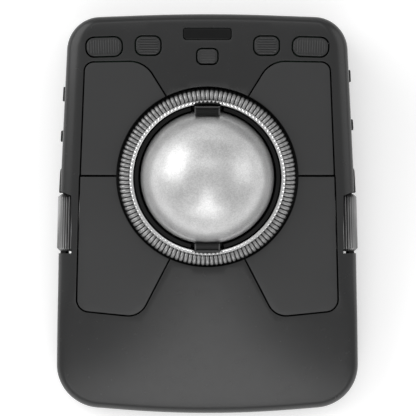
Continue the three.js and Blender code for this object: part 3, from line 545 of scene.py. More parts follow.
def smoked_gloss(name, value=0.003):
    """Smoked glossy plastic with faint streaks from moulding."""
    made = Surface(name)
    streaks = made.noise(300, 2)
    return made.finish({
        "Base Color": made.mix(streaks, grey(value * 0.7, 0.1), grey(value * 1.4, 0.1)),
        "Roughness": made.ramp(streaks, 0.06, 0.14),
        "Specular IOR Level": 0.2,
        "Coat Weight": 0.2,
        "Coat Roughness": 0.05,
    })


def circuit_board(name):
    """Solder mask over copper tracks: a blocky pattern in greens."""
    made = Surface(name)
    tracks = made.node("TexBrick", {
        "Scale": 260,
        "Mortar Size": 0.12,
        "Color1": (0.010, 0.075, 0.034, 1),
        "Color2": (0.014, 0.090, 0.040, 1),
        "Mortar": (0.030, 0.150, 0.070, 1),
        "Vector": made.place,
    }).outputs
    return made.finish({
        "Base Color": tracks["Color"],
        "Roughness": made.ramp(made.noise(1500), 0.25, 0.4),
        "Normal": made.bump(tracks["Fac"], 0.2, 0.00005),
    })


case_plastic = moulded_plastic("case_plastic", 0.020, 0.26)
button_plastic = moulded_plastic("button_plastic", 0.030, 0.44)
base_plastic = moulded_plastic("base_plastic", 0.012, 0.60, grain=0.0003, relief=0.2)
key_plastic = moulded_plastic("key_plastic", 0.022, 0.36, relief=0.05)
side_plastic = moulded_plastic("side_control_plastic", 0.012, 0.45, relief=0.06)
cup_plastic = moulded_plastic("cup_plastic", 0.005, 0.35, relief=0.04, specular=0.2)
rail_plastic = moulded_plastic("clip_rail_plastic", 0.04, 0.3, relief=0.04)
frame_plastic = moulded_plastic("frame_plastic", 0.010, 0.6)
foot_rubber = moulded_plastic("foot_rubber", 0.012, 0.8, grain=0.0005, relief=0.3, specular=0.3)
lead_rubber = moulded_plastic("lead_insulation", 0.012, 0.55, grain=0.0006, specular=0.4)
battery_foil = moulded_plastic("battery_foil", 0.22, 0.35, grain=0.0012, relief=0.25, tint=0.06)
ring_metal = brushed_metal("ring_metal", 0.34, 0.44)
ring_polish = brushed_metal("ring_polish", 0.95, 0.12, relief=0.02)
# Near-black metal put into the grooves of the ring's and the rollers' ridges as painted shade.
groove_painted_shade = brushed_metal("groove_painted_shade", 0.05, 0.5)
roller_metal = brushed_metal("roller_metal", 0.30, 0.42, (4000, 400, 4000))
steel = brushed_metal("bright_steel", 0.60, 0.22)
ball_resin = pearl_resin("pearl_resin")
window_gloss = smoked_gloss("window_gloss")
lens_gloss = smoked_gloss("lens_gloss", 0.01)
board_mask = circuit_board("circuit_board")


# ---- Case cover ----

# Spacing of the loose points on the case and the buttons, and how far they stay from edges.
CASE_GRID = {"case": 3.2, "button": 3.0, "from_edge": 0.8, "from_opening": 1.3}

def ring_contour(radius):
    """A circle round the ring's axis, seen straight down from above the tilted deck."""
    turns = np.radians(np.arange(0, 360, 2))
    return np.column_stack([radius * np.cos(turns), ring_y + radius * math.cos(DECK_TILT) * np.sin(turns)])


def ring_distance(points, radius):
    return np.hypot(points[:, 0], (points[:, 1] - ring_y) / math.cos(DECK_TILT)) - radius


def button_corners(level, side):
    return BUTTON_CORNERS[level] if side < 0 else mirrored(BUTTON_CORNERS[level])


# Further out and further up than any point of the case.
OUTSIDE_CASE = 70
ABOVE_CASE = 60


def notch_polygon(side):
    """Where a roller shows: the cover is open from the notch's inner edge outwards."""
    notch = ROLLER_NOTCH
    front, back = (edge_point(side, notch[end]) for end in ("front", "back_outer"))
    beyond = OUTSIDE_CASE * side
    corners = [
        (notch["x"] * side, notch["front"]), tuple(front), (beyond, notch["front"]),
        (beyond, notch["back_outer"] + 1.5), tuple(back), (notch["x"] * side, notch["back_inner"]),
    ]
    return np.array(corners if side > 0 else corners[::-1])


def edge_point(side, height):
    """The outline's own point at a y on one side."""
    near = [p for p in EDGE if p[0] * side > SIDE_FROM]
    return min(near, key=lambda p: abs(p[1] - height))


def in_polygon(points, polygon):
    """Whether each point lies in a polygon of any shape."""
    inside = np.zeros(len(points), bool)
    x, y = points[:, 0], points[:, 1]
    for (ax, ay), (bx, by) in zip(polygon, np.roll(polygon, -1, axis=0)):
        if ay == by:
            continue
        crosses = (ay > y) != (by > y)
        inside ^= crosses & (x < ax + (y - ay) * (bx - ax) / (by - ay))
    return inside


def cover_openings():
    """Corner lists of the cover's rounded openings, grown to the edge of their gaps."""
    buttons = [button_corners(level, side) for level in BUTTON_CORNERS for side in SIDES.values()]
    shapes = [inset(button, -GAP_HALF) for button in buttons]
    shapes += [rounded_rectangle(*key[:6], grow=GAP_HALF) for key in KEYS.values()]
    shapes.append(rounded_rectangle(*WINDOW, grow=WINDOW_FIT["opening"]))
    return shapes


def cover_top():
    """The cover's upper skin: plan points, heights with rounded opening edges, and triangles."""
    shapes = cover_openings()
    edges = [outline(shape)[0] for shape in shapes]
    notches = [notch_polygon(side) for side in SIDES.values()]
    across, _ = edge_rounding(EDGE, EDGE_NORMALS)
    falls = np.radians([0, 9, 18, 28, 38, 49, 62, 76, 90])
    rings = [EDGE - EDGE_NORMALS * (across * (1 - math.cos(fall)))[:, None] for fall in falls]
    contours = [outline(inset(shape, -step))[0] for shape in shapes for step in fillet_steps(FILLET)]
    contours += [ring_contour(RING_OPENING + step) for step in fillet_steps(FILLET)]

    def opening_distance(points):
        distances = [distance_to(points, edge) for edge in edges] + [ring_distance(points, RING_OPENING)]
        return np.min(distances, axis=0)

    def keep(points):
        open_here = [in_polygon(points, notch) for notch in notches]
        return (case_place(points)[0] > 0) & (opening_distance(points) > 0) & ~np.any(open_here, axis=0)

    grid = loose_grid(CASE_GRID["case"], (-62, -84), (62, 82))
    depth, normals = case_place(grid)
    far_in = depth > edge_rounding(grid, normals)[0] + CASE_GRID["from_edge"]
    grid = grid[far_in & (opening_distance(grid) > CASE_GRID["from_opening"])]
    plan, faces = triangulate(rings + contours + notches, grid, keep)
    surface = case_height(plan)
    return plan, surface, surface - fillet_drop(opening_distance(plan), FILLET), faces


def side_points(side):
    """Which of the outline's points lie along one side, from front to back."""
    near = [i for i, (x, _) in enumerate(EDGE) if x * side > SIDE_FROM and abs(EDGE_NORMALS[i][0]) > 0.9]
    return sorted(near, key=lambda i: EDGE[i][1])


def along_edge(lengths, side, y):
    """The distance along the outline at which it passes a y on one side."""
    order = side_points(side)
    return float(np.interp(y, [EDGE[i][1] for i in order], [lengths[i] for i in order]))


def wall_openings(lengths):
    """Rounded openings in the case side as corners of distance along the outline and height."""
    control = SIDE_CONTROL
    shapes = []
    for side, y, length, slides in SIDE_CONTROLS.values():
        width = length + 2 * GAP_HALF + (2 * control["travel"] if slides else 0)
        height = control["height"] + 2 * GAP_HALF
        corner = 0.5 if slides else 1.4
        shapes.append(rounded_rectangle(along_edge(lengths, side, y), control["z"], width, height, corner))
    low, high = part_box("usb_socket")
    width = (high.x - low.x) / MM + 2 * USB["clearance"]
    height = (high.z - low.z) / MM + 2 * USB["clearance"]
    shapes.append(rounded_rectangle(lengths[-1] / 2, (high.z + low.z) / 2 / MM, width, height, 1.9))
    return shapes


# Shares of the wall's height at which it has rows of points.
WALL_LEVELS = (0.12, 0.28, 0.46, 0.64, 0.82)
# Over this height below the case edge, the inner skin of the wall is lowered to meet the top's.
INNER_SLOPE = 8


def cover_wall():
    """The cover's side skin from the rounded edge down to the parting line."""
    steps = np.linalg.norm(np.roll(EDGE, -1, axis=0) - EDGE, axis=1)
    lengths = np.concatenate([[0], np.cumsum(steps)])
    loop = np.concatenate([EDGE, EDGE[:1]])
    loop_normals = np.concatenate([EDGE_NORMALS, EDGE_NORMALS[:1]])
    loop_top = np.concatenate([EDGE_TOP, EDGE_TOP[:1]])
    shapes = wall_openings(lengths)
    edges = [outline(shape, 10, 2)[0] for shape in shapes]
    grown = [inset(shape, -step) for shape in shapes for step in fillet_steps(FILLET)]
    contours = [outline(shape, 10, 2)[0] for shape in grown]
    notches = []
    for side in SIDES.values():
        ends = [edge_point(side, ROLLER_NOTCH[end])[1] for end in ("front", "back_outer")]
        low, high = sorted(along_edge(lengths, side, y) for y in ends)
        bottom = ROLLER_NOTCH["bottom"]
        notches.append(np.array([(low, bottom), (high, bottom), (high, ABOVE_CASE), (low, ABOVE_CASE)]))
    heights = [COVER_BOTTOM + step for step in fillet_steps(FILLET)]
    lines = [np.column_stack([lengths, loop_top])]
    lines += [np.column_stack([lengths, np.full(len(lengths), height)]) for height in heights]
    wall = loop_top - COVER_BOTTOM
    levels = [np.column_stack([lengths, COVER_BOTTOM + wall * share]) for share in WALL_LEVELS]

    def top_at(along):
        return np.interp(along, lengths, loop_top)

    def opening_distance(points):
        return np.min([distance_to(points, edge) for edge in edges], axis=0)

    def keep(points):
        inside = (points[:, 1] > COVER_BOTTOM) & (points[:, 1] < top_at(points[:, 0]))
        within = (points[:, 0] > 0) & (points[:, 0] < lengths[-1])
        cut = np.any([in_polygon(points, notch) for notch in notches], axis=0)
        return inside & within & ~cut & (opening_distance(points) > 0)

    loose = np.concatenate(levels)
    loose = loose[opening_distance(loose) > 0.5]
    flat, faces = triangulate(contours + notches, loose, keep, lines)
    along, height = flat[:, 0], flat[:, 1]
    place = np.column_stack([np.interp(along, lengths, loop[:, k]) for k in (0, 1)])
    normal = np.column_stack([np.interp(along, lengths, loop_normals[:, k]) for k in (0, 1)])
    normal /= np.linalg.norm(normal, axis=1)[:, None]
    top = top_at(along)
    draft = WALL_DRAFT * (top - height) / (top - COVER_BOTTOM)
    edge_distance = np.minimum(opening_distance(flat), height - COVER_BOTTOM)
    outside = place - normal * (draft + fillet_drop(edge_distance, FILLET))[:, None]
    inside = place - normal * (draft + COVER_WALL)[:, None]
    lowered = height - COVER_WALL * np.clip((height - top + INNER_SLOPE) / INNER_SLOPE, 0, 1)
    return np.column_stack([outside, height]), np.column_stack([inside, lowered]), faces


def make_top_cover():
    plan, surface, height, top_faces = cover_top()
    depth, normals = case_place(plan)
    across, _ = edge_rounding(plan, normals)
    pull = COVER_WALL * (1 - np.clip(depth / across, 0, 1))
    top_outer = np.column_stack([plan, height])
    top_inner = np.column_stack([plan - normals * pull[:, None], surface - COVER_WALL])
    wall_outer, wall_inner, wall_faces = cover_wall()
    outer = np.concatenate([top_outer, wall_outer])
    inner = np.concatenate([top_inner, wall_inner])
    faces = np.concatenate([top_faces, wall_faces + len(top_outer)])
    skin = closed_shell(outer, inner, faces)
    make_piece("top_cover_shell", "case", "top_cover", skin, [case_plastic])


# ---- Main buttons ----

def make_button(level, side_name):
    side = SIDES[side_name]
    corners = inset(button_corners(level, side), GAP_HALF)
    edge = outline(corners)[0]
    contours = [outline(inset(corners, step))[0] for step in fillet_steps(FILLET)]
    contours += [ring_contour(BUTTON_RING_GAP + step) for step in fillet_steps(FILLET)]

    def edge_distance(points):
        return np.minimum(-distance_to(points, edge), ring_distance(points, BUTTON_RING_GAP))

    grid = loose_grid(CASE_GRID["button"], edge.min(0), edge.max(0))
    grid = grid[edge_distance(grid) > CASE_GRID["from_opening"]]
    plan, faces = triangulate(contours, grid, lambda points: edge_distance(points) > 0)
    surface = case_height(plan)
    top = surface - fillet_drop(edge_distance(plan), FILLET)
    skin = slab(plan, top, surface - BUTTON_WALL, faces)
    name = f"{level}_{side_name}_button"
    make_piece(name + "_plate", name, name, skin, [button_plastic])


# ---- Keys and window ----

RIB_PITCH = 1.02
RIB_HEIGHT = 0.3
# Over this depth from a key's edge its ribs rise.
RIB_FADE = {"from": 0.5, "over": 0.3}
FINE_STEPS = (8, 0.8)


def rib_wave(position):
    """Round-topped ribs with narrow valleys between them."""
    return np.abs(np.cos(math.pi * position / RIB_PITCH)) ** 0.8


def make_key(name, key):
    x, y, width, depth, radius, yaw, ribs = key
    turn = math.radians(yaw)
    fine, coarse = RIB_PITCH / 8, KEY_CAP["spacing"]
    spacing = (fine, coarse) if ribs == "y" else (coarse, fine)
    u, v = (np.arange(-size / 2, size / 2, step) for size, step in zip((width, depth), spacing))
    grid = np.array([(a, b) for a in u for b in v])
    grid = np.column_stack(turned(grid[:, 0], grid[:, 1], turn, x, y))
    corners = rounded_rectangle(x, y, width, depth, radius, yaw, grow=-GAP_HALF)
    plan, faces, distance = rounded_plan(corners, KEY_CAP["fillet"], FINE_STEPS, KEY_CAP["clear"], grid=grid)
    u, v = turned(plan[:, 0] - x, plan[:, 1] - y, -turn)
    fade = np.clip((distance - RIB_FADE["from"]) / RIB_FADE["over"], 0, 1)
    relief = RIB_HEIGHT * (1 if name != "centre_key" else 0.5)
    ridges = relief * fade * (rib_wave(u if ribs == "y" else v) - 0.5)
    crown = KEY_CAP["crown"] * (1 - (u / width * 2) ** 2) * (1 - (v / depth * 2) ** 2)
    surface = case_height(plan)
    top = surface + KEY_CAP["raised"] + crown + ridges - fillet_drop(distance, KEY_CAP["fillet"])
    skin = slab(plan, top, surface - KEY_CAP["depth"], faces)
    make_piece(name + "_cap", name, name, skin, [key_plastic])


def make_window():
    fit = WINDOW_FIT
    corners = rounded_rectangle(*WINDOW, grow=fit["lens"])
    plan, faces, distance = rounded_plan(corners, fit["fillet"], FINE_STEPS, fit["clear"], fit["spacing"])
    surface = case_height(plan)
    top = surface - fit["sunk"] - fillet_drop(distance, fit["fillet"])
    skin = slab(plan, top, surface - fit["depth"], faces)
    make_piece("indicator_window", "case", "indicator_lens", skin, [window_gloss])


# ---- Ball, ring, cup and clips, in the deck's frame ----

def to_case(vertices, frame_matrix=DECK):
    turn = np.array(frame_matrix.to_3x3())
    return np.asarray(vertices) @ turn.T + np.array(frame_matrix.translation)


# Columns of points across each ridge of the ring and the rollers, and those in its groove, whose faces are
# painted dark as shade.
RIDGE_SAMPLES = 8
GROOVE_STEPS = (3, 4)
RIDGES = 120
RIDGE_DEPTH = 0.5
# Radius from the ring's axis and height above the ball's centre.
RING_PROFILE = [
    (30.35, -4.4), (30.35, 0.0), (30.35, 3.9), (30.45, 4.12), (30.8, 4.3), (31.25, 4.45),
    (31.75, 4.58), (32.05, 4.62), (32.3, 5.15), (32.9, 5.32), (33.6, 5.35), (34.3, 5.22), (35.0, 4.9),
    (35.6, 4.4), (36.1, 3.7), (36.42, 2.9), (36.6, 2.0), (36.6, -3.0),
    (38.7, -3.0), (38.9, -3.2), (38.9, -4.4),
]
# Where along the profile the ridges, the polished band and the skirt painted dark as shade lie.
RIDGED = range(6, 17)
POLISHED = range(2, 6)
SHADE_PAINTED_FROM = 14
# The order of the ring's materials; the near-black skirt and the near-black ridge grooves are painted shade.
PLAIN, BRIGHT, PAINTED_SHADE_SKIRT, PAINTED_SHADE_GROOVE = range(4)


def make_scroll_ring():
    profile = np.array(RING_PROFILE)
    weights = np.zeros(len(profile))
    weights[list(RIDGED)] = 1
    weights[RIDGED[0]] = 0.75
    outward = np.gradient(profile, axis=0)
    outward = np.column_stack([-outward[:, 1], outward[:, 0]])
    outward /= np.linalg.norm(outward, axis=1)[:, None]

    def ridged(angle):
        drop = RIDGE_DEPTH * (1 - abs(math.cos(angle * RIDGES / 2)))
        return profile - outward * (weights * drop)[:, None]

    def finish_of(face):
        step, column = divmod(face, len(profile))
        # Faces on the outer skirt are painted near-black as shade.
        if column >= SHADE_PAINTED_FROM:
            return PAINTED_SHADE_SKIRT
        if column in POLISHED:
            return BRIGHT
        # Faces in a ridge's groove are painted dark as shade.
        return PAINTED_SHADE_GROOVE if column in RIDGED and step % RIDGE_SAMPLES in GROOVE_STEPS else PLAIN

    vertices, faces = lathe(profile, RIDGES * RIDGE_SAMPLES, ridged)
    finishes = [finish_of(face) for face in range(len(faces))]
    # The skirt reuses the near-black cup plastic and the grooves a near-black metal, both as painted shade.
    materials = [ring_metal, ring_polish, cup_plastic, groove_painted_shade]
    skin = to_case(vertices), faces
    make_piece("scroll_ring_knurled", "scroll_ring", "scroll_ring", skin, materials, 40, finishes)


def make_ball():
    """An even sphere from a cube whose faces are divided and pushed out."""
    divisions = 40
    ticks = np.tan(np.linspace(-math.pi / 4, math.pi / 4, divisions + 1))
    vertices, faces = [], []
    for a, b, c in ((0, 1, 2), (1, 2, 0), (2, 0, 1)):
        for sign in (-1, 1):
            first = len(vertices)
            for u in ticks:
                for v in ticks:
                    point = np.zeros(3)
                    point[a], point[b], point[c] = u, v, sign
                    vertices.append(unit(point) * ball_radius)
            for i in range(divisions):
                for j in range(divisions):
                    corner = first + i * (divisions + 1) + j
                    quad = (corner, corner + divisions + 1, corner + divisions + 2, corner + 1)
                    faces.append(quad if sign > 0 else quad[::-1])
    vertices, faces, _ = merged(np.array(vertices), faces)
    make_piece("ball", "ball", "trackball", (to_case(vertices), faces), [ball_resin], 60)


def arc_points(radius, first, last, count):
    angles = np.radians(np.linspace(first, last, count))
    return [(radius * math.cos(a), radius * math.sin(a)) for a in angles]


# Radius and height of the cup's rim and flange, between its inner and its outer bowl.
CUP_RIM = [
    (28.2, -3.2), (28.2, 3.35), (28.35, 3.6), (29.7, 3.6),
    (29.9, 3.4), (29.9, -7.2), (39.6, -7.2), (39.6, -8.5),
]
CUP_BOWL = {"inner": 28.4, "outer": 30.2}
CUP_NOTCH = {"half": 6.3, "bottom": -2.3, "reach": 30}


def make_cup():
    """The socket the ball sits in, with its rim and the two notches for the clips."""
    inner = arc_points(CUP_BOWL["inner"], -89, -8, 24)
    outer = arc_points(CUP_BOWL["outer"], -17, -89, 22)
    profile = inner + CUP_RIM + outer
    vertices, faces = lathe(profile, 240)
    radius = np.hypot(vertices[:, 0], vertices[:, 1])
    near = (np.abs(vertices[:, 0]) < CUP_NOTCH["half"]) & (radius < CUP_NOTCH["reach"])
    vertices[near & (vertices[:, 2] > CUP_NOTCH["bottom"]), 2] = CUP_NOTCH["bottom"]
    make_piece("ball_cup_moulded", "case", "ball_cup", (to_case(vertices), faces), [cup_plastic])


def extruded(profile, half, bevel=0.25):
    """A closed profile drawn out along X with its end edges eased."""
    profile = np.array(profile, float)
    middle = profile.mean(0)
    shrink = profile + (middle - profile) / np.linalg.norm(middle - profile, axis=1)[:, None] * bevel
    stations = [(-half, shrink), (-half + bevel, profile), (half - bevel, profile), (half, shrink)]
    return tube([np.column_stack([np.full(len(p), x), p]) for x, p in stations], flip=True)


# Distance from the ball's centre and height of a clip's outer side, its two rails and its lip.
CLIP_HEAD = [
    (26.15, 10.15), (26.5, 10.4), (27.6, 10.4), (28.3, 10.05),
    (29.0, 9.2), (29.4, 8.2), (29.5, 7.0), (29.5, -2),
]
CLIP_RAIL = [(26.3, 10.3), (26.6, 10.65), (28.0, 10.5), (29.0, 9.8), (29.6, 8.4), (29.2, 8.3), (28.2, 9.6)]
CLIP_LIP = [(28.9, 9.0), (29.3, 9.5), (29.8, 9.2), (29.85, 8.2), (29.4, 8.0)]
CLIP = {"half": 5.2, "face_radius": 27.9, "bottom": -2, "top": 9.6, "rail_x": 4.9, "rail_half": 0.3}


def make_clip(name, end):
    """A ball clip: its face follows the ball, and its head is rounded over."""
    heights = np.linspace(CLIP["bottom"], CLIP["top"], 9)
    face = [(math.sqrt(CLIP["face_radius"] ** 2 - height ** 2), height) for height in heights]
    parts = [extruded(face + CLIP_HEAD, CLIP["half"])]
    for x in (-CLIP["rail_x"], CLIP["rail_x"]):
        rail, rail_faces = extruded(CLIP_RAIL, CLIP["rail_half"], 0.1)
        parts.append((rail + (x, 0, 0), rail_faces))
    parts.append(extruded(CLIP_LIP, CLIP["half"], 0.1))
    vertices, faces = joined(parts)
    if end < 0:
        vertices = vertices * (-1, -1, 1)
    finishes = [face >= len(parts[0][1]) for face in range(len(faces))]
    skin = to_case(vertices), faces
    make_piece(name + "_moulded", "case", name, skin, [cup_plastic, rail_plastic], 32, finishes)


# ---- Rollers ----

ROLLER = {"x": 56.0, "y": -3.8, "half": 11.75, "yaw": 1.5, "ridges": 32, "ridge_depth": 0.65}
# Distance in from a roller's end, and radius.
ROLLER_END = [(0, 1.3), (0, 4.6), (0.25, 5.0), (0.9, 5.75), (1.2, 6.0)]
# The ridges start outside this radius, and their grooves are painted dark as shade on these parts of the
# profile.
ROLLER_PLAIN = 5.2
ROLLER_RIDGED = range(2, 7)


def make_roller(side_name):
    side = SIDES[side_name]
    low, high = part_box(f"{side_name}_roller_axle")
    height = (low.z + high.z) / 2 / MM
    half = ROLLER["half"]
    profile = [(radius, -half + inwards) for inwards, radius in ROLLER_END]
    profile += [(radius, half - inwards) for inwards, radius in reversed(ROLLER_END)]

    def ridged(angle):
        wave = 0.5 + 0.5 * math.cos(angle * ROLLER["ridges"])
        points = np.array(profile)
        points[points[:, 0] > ROLLER_PLAIN, 0] -= ROLLER["ridge_depth"] * (1 - wave ** 0.7)
        return points

    # Faces in a ridge's groove take the near-black metal as painted shade.
    def in_groove(face):
        step, column = divmod(face, len(profile))
        return column in ROLLER_RIDGED and step % RIDGE_SAMPLES in GROOVE_STEPS

    vertices, faces = lathe(profile, ROLLER["ridges"] * RIDGE_SAMPLES, ridged)
    lying = np.column_stack([vertices[:, 0], vertices[:, 2], -vertices[:, 1]])
    place = Matrix.Translation((side * ROLLER["x"], ROLLER["y"], height))
    place = place @ Matrix.Rotation(math.radians(ROLLER["yaw"]) * side, 4, "Z")
    skin = to_case(lying, place), faces
    finishes = [in_groove(face) for face in range(len(faces))]
    name = f"{side_name}_roller"
    make_piece(name + "_ridged", name, name, skin, [roller_metal, groove_painted_shade], 40, finishes)


# ---- Fenders and side controls ----

def side_wall(side, y, z):
    """The x of the case side at each y and height below its rounded edge."""
    order = side_points(side)
    ys = [EDGE[i][1] for i in order]
    edge = np.interp(y, ys, [abs(EDGE[i][0]) for i in order])
    top = np.interp(y, ys, [EDGE_TOP[i] for i in order])
    return side * (edge - WALL_DRAFT * np.clip((top - z) / (top - COVER_BOTTOM), 0, 1))


# Steps of a pad's outline, and the spacing of its loose points and how far they stay from its rounded edge.
PAD_STEPS = (10, 0.7)
PAD_GRID = {"spacing": 0.3, "clear": 0.1}


def side_pad(corners, side, proud, depth, fillet, relief=None):
    """A pad drawn in y and height on the case side, with a rounded edge; relief() shapes its face."""
    corners = corners if side > 0 else [(-y, z, radius) for y, z, radius in corners][::-1]
    clear = fillet + PAD_GRID["clear"]
    flat, faces, distance = rounded_plan(corners, fillet, PAD_STEPS, clear, PAD_GRID["spacing"])
    y = flat[:, 0] * side
    z = flat[:, 1]
    wall = side_wall(side, y, z)
    raised = proud - fillet_drop(distance, fillet) + (relief(y, z, distance) if relief else 0)
    outer = np.column_stack([wall + side * raised, y, z])
    inner = np.column_stack([wall - side * depth, y, z])
    return closed_shell(outer, inner, faces)


def make_fender(side_name):
    """The low guard of the cover behind a roller."""
    side = SIDES[side_name]
    front, back, bottom, top = (FENDER[end] for end in ("front", "back", "bottom", "top"))
    corners = [(front, bottom, 0.6), (back, bottom, 1.5), (back, top, 2.5), (front, top, 0.6)]
    skin = side_pad(corners, side, FENDER["proud"], FENDER["depth"], FENDER["fillet"])
    make_piece(f"{side_name}_roller_fender", "case", "top_cover", skin, [case_plastic])


GRIP = {"pitch": 1.1, "depth": 0.22}
DISH_DEPTH = 0.16
# The hidden plate behind a side control: how much larger than the knob, how far inside the wall, how thick.
PLATE = {"wider": 2.6, "inside": 0.9, "depth": 4.0}


def make_side_control(name, control):
    """A slide switch with grip grooves, or a round-ended push button with a dished face."""
    side, y, length, slides = control
    z, height = SIDE_CONTROL["z"], SIDE_CONTROL["height"]
    radius = 0.5 if slides else height / 2 - 0.02
    corners = rounded_rectangle(y, z, length, height, radius)

    def grooves(along, _, distance):
        fade = np.clip((distance - 0.35) / 0.25, 0, 1)
        return -GRIP["depth"] * fade * (0.5 + 0.5 * np.cos((along - y) * math.tau / GRIP["pitch"]))

    def dish(along, up, distance):
        reach = ((along - y) / length * 2) ** 2 + ((up - z) / height * 2) ** 2
        return -DISH_DEPTH * np.clip(1 - reach, 0, 1) * np.clip(distance / 0.5, 0, 1)

    knob = side_pad(corners, side, SIDE_CONTROL["proud"], PLATE["depth"], 0.3, grooves if slides else dish)
    travel = SIDE_CONTROL["travel"] if slides else 0
    plate_length = length + PLATE["wider"] + 4 * travel
    plate_corners = rounded_rectangle(y, z, plate_length, height + PLATE["wider"], 0.8)
    plate = side_pad(plate_corners, side, -COVER_WALL - PLATE["inside"], PLATE["depth"], 0.2)
    make_piece(name + "_moulded", name, name, joined([knob, plate]), [side_plastic])


# ---- Base, feet, screws and socket ----

def base_bosses():
    return [(side * x, y) for side in SIDES.values() for x, y in SCREWS.values()]


def ring_loft(profile, corners):
    """A closed band round the case: profile points are (inset, height)."""
    points, normals = outline(corners, *CASE_STEPS)
    rings = [np.column_stack([points - normals * depth, np.full(len(points), z)]) for depth, z in profile]
    return np.concatenate(rings), flipped(bands(len(points), len(rings)))


# Radius and height of a screw's riser on the tray's floor.
RISER = [(1.4, 3.2), (4.0, 3.2), (4.2, 3.4), (4.2, 4.7), (3.9, 4.9), (1.4, 4.9)]


def make_base():
    """The tray: a floor with screw recesses and a shallow blank label bed, and the wall and lip round it."""
    corners = inset(CASE_CORNERS, BASE["inset"])
    edge = outline(corners, *CASE_STEPS)[0]
    steps = BASE["edge"] * (1 - np.sin(np.radians([90, 72, 54, 36, 18, 0])))
    contours = [outline(inset(corners, step), *CASE_STEPS)[0] for step in steps]
    recess = SCREW["recess"]
    holes = [rounded_rectangle(x, y, 2 * recess, 2 * recess, recess) for x, y in base_bosses()]
    hole_edges = [outline(hole, 15)[0] for hole in holes]
    contours += [outline(inset(hole, -step), 15)[0] for hole in holes for step in (0, 0.15, 0.3)]
    label = rounded_rectangle(0, LABEL_BED["y"], LABEL_BED["width"], LABEL_BED["depth"], LABEL_BED["corner"])
    label_edge = outline(label, 10, 3)[0]
    contours += [outline(inset(label, step), 10, 3)[0] for step in (0, 0.3)]
    size = (FOOT["length"] + 1, FOOT["width"] + 1, FOOT["corner"] + 0.5)
    beds = [rounded_rectangle(side * x, y, *size) for side in SIDES.values() for x, y in FEET.values()]
    bed_edges = [outline(bed, 10, 3)[0] for bed in beds]
    contours += [outline(inset(bed, step), 10, 3)[0] for bed in beds for step in (0, 0.25)]

    def hole_distance(points):
        return np.min([distance_to(points, hole) for hole in hole_edges], axis=0)

    def keep(points):
        return (distance_to(points, edge) < 0) & (hole_distance(points) > 0)

    flat, faces = triangulate(contours, [], keep)
    bed_depth = -np.min([distance_to(flat, bed) for bed in bed_edges], axis=0)
    lift = fillet_drop(-distance_to(flat, edge), BASE["edge"]) + fillet_drop(hole_distance(flat), 0.3)
    lift += LABEL_BED["sunk"] * np.clip(-distance_to(flat, label_edge) / 0.3, 0, 1)
    lift += FOOT["bed"] * np.clip(bed_depth / 0.25, 0, 1)
    near, far = BASE["lip"]
    profile = [
        (BASE["inset"], BASE["bottom"] + BASE["edge"]), (BASE["inset"], BASE["top"] - 0.2),
        (BASE["inset"] + 0.2, BASE["top"]), (near, BASE["top"]), (near, BASE["lip_top"] - 0.2),
        (near + 0.2, BASE["lip_top"]), (far, BASE["lip_top"]), (far, BASE["floor"] - 0.4),
        (BASE["inset"] + 0.6, BASE["bottom"] + BASE["edge"]),
    ]
    floor = slab(flat, BASE["bottom"] + lift, BASE["floor"], faces[:, ::-1])
    parts = [floor, ring_loft(profile, CASE_CORNERS)]
    for x, y in base_bosses():
        vertices, riser_faces = lathe(RISER, 32)
        inwards = unit(-np.array([x, y])) * 0.6
        parts.append((vertices + (x + inwards[0], y + inwards[1], 0), riser_faces))
    make_piece("base_tray_moulded", "case", "base_tray", joined(parts), [base_plastic])


def make_foot(end, side_name):
    x, y = FEET[end]
    corners = rounded_rectangle(SIDES[side_name] * x, y, FOOT["length"], FOOT["width"], FOOT["corner"])
    flat, faces, distance = rounded_plan(corners, FOOT["fillet"], (8, 1.5), FOOT["clear"], FOOT["spacing"])
    under = fillet_drop(distance, FOOT["fillet"])
    skin = slab(flat, under, BASE["bottom"] + FOOT["bed"], faces[:, ::-1])
    name = f"{end}_{side_name}_foot"
    make_piece(name + "_pad", "case", name, skin, [foot_rubber])


def cross(half, half_width):
    """A plus sign's corners, counter-clockwise."""
    arm = [(half, -half_width), (half, half_width), (half_width, half_width)]
    return np.array([turned(u, v, math.pi / 2 * quarter) for quarter in range(4) for u, v in arm])


def make_screw(end, side_name):
    """A pan-head screw, its head down in the base's recess, with a tapered cross slot."""
    x, y = SCREWS[end]
    radii = [SCREW["head"] - step for step in (0, 0.06, 0.2, 0.5)] + [2.0]
    turns = np.radians(np.arange(0, 360, 10))
    circles = [np.column_stack([radius * np.cos(turns), radius * np.sin(turns)]) for radius in radii]
    wide, narrow = cross(*SLOT_MOUTH), cross(*SLOT_FLOOR)

    def keep(points):
        return np.hypot(points[:, 0], points[:, 1]) < SCREW["head"]

    flat, faces = triangulate(circles + [wide, narrow], [], keep)
    radius = np.hypot(flat[:, 0], flat[:, 1])
    nearest = np.linalg.norm(flat[:, None] - narrow[None], axis=2).min(1)
    sunk = in_polygon(flat, narrow * 0.999) | (nearest < 1e-4)
    under = SCREW["bottom"] + fillet_drop(SCREW["head"] - radius, 0.5) + SCREW["slot"] * sunk
    head = slab(flat, under, SCREW["top"], faces[:, ::-1])
    thread = []
    for turn in range(SCREW["turns"]):
        z = SCREW["top"] + 0.4 + turn * SCREW["pitch"]
        thread += [(SCREW["shank"] - 0.25, z), (SCREW["shank"], z + SCREW["pitch"] / 2)]
    shank = lathe([(0.1, 2.9), (SCREW["shank"], 2.9)] + thread + [(0.1, SCREW["end"])], 16)
    vertices, faces = joined([head, shank])
    name = f"{end}_{side_name}_screw"
    skin = vertices + (SIDES[side_name] * x, y, 0), faces
    make_piece(name + "_pan_head", "case", name, skin, [steel])


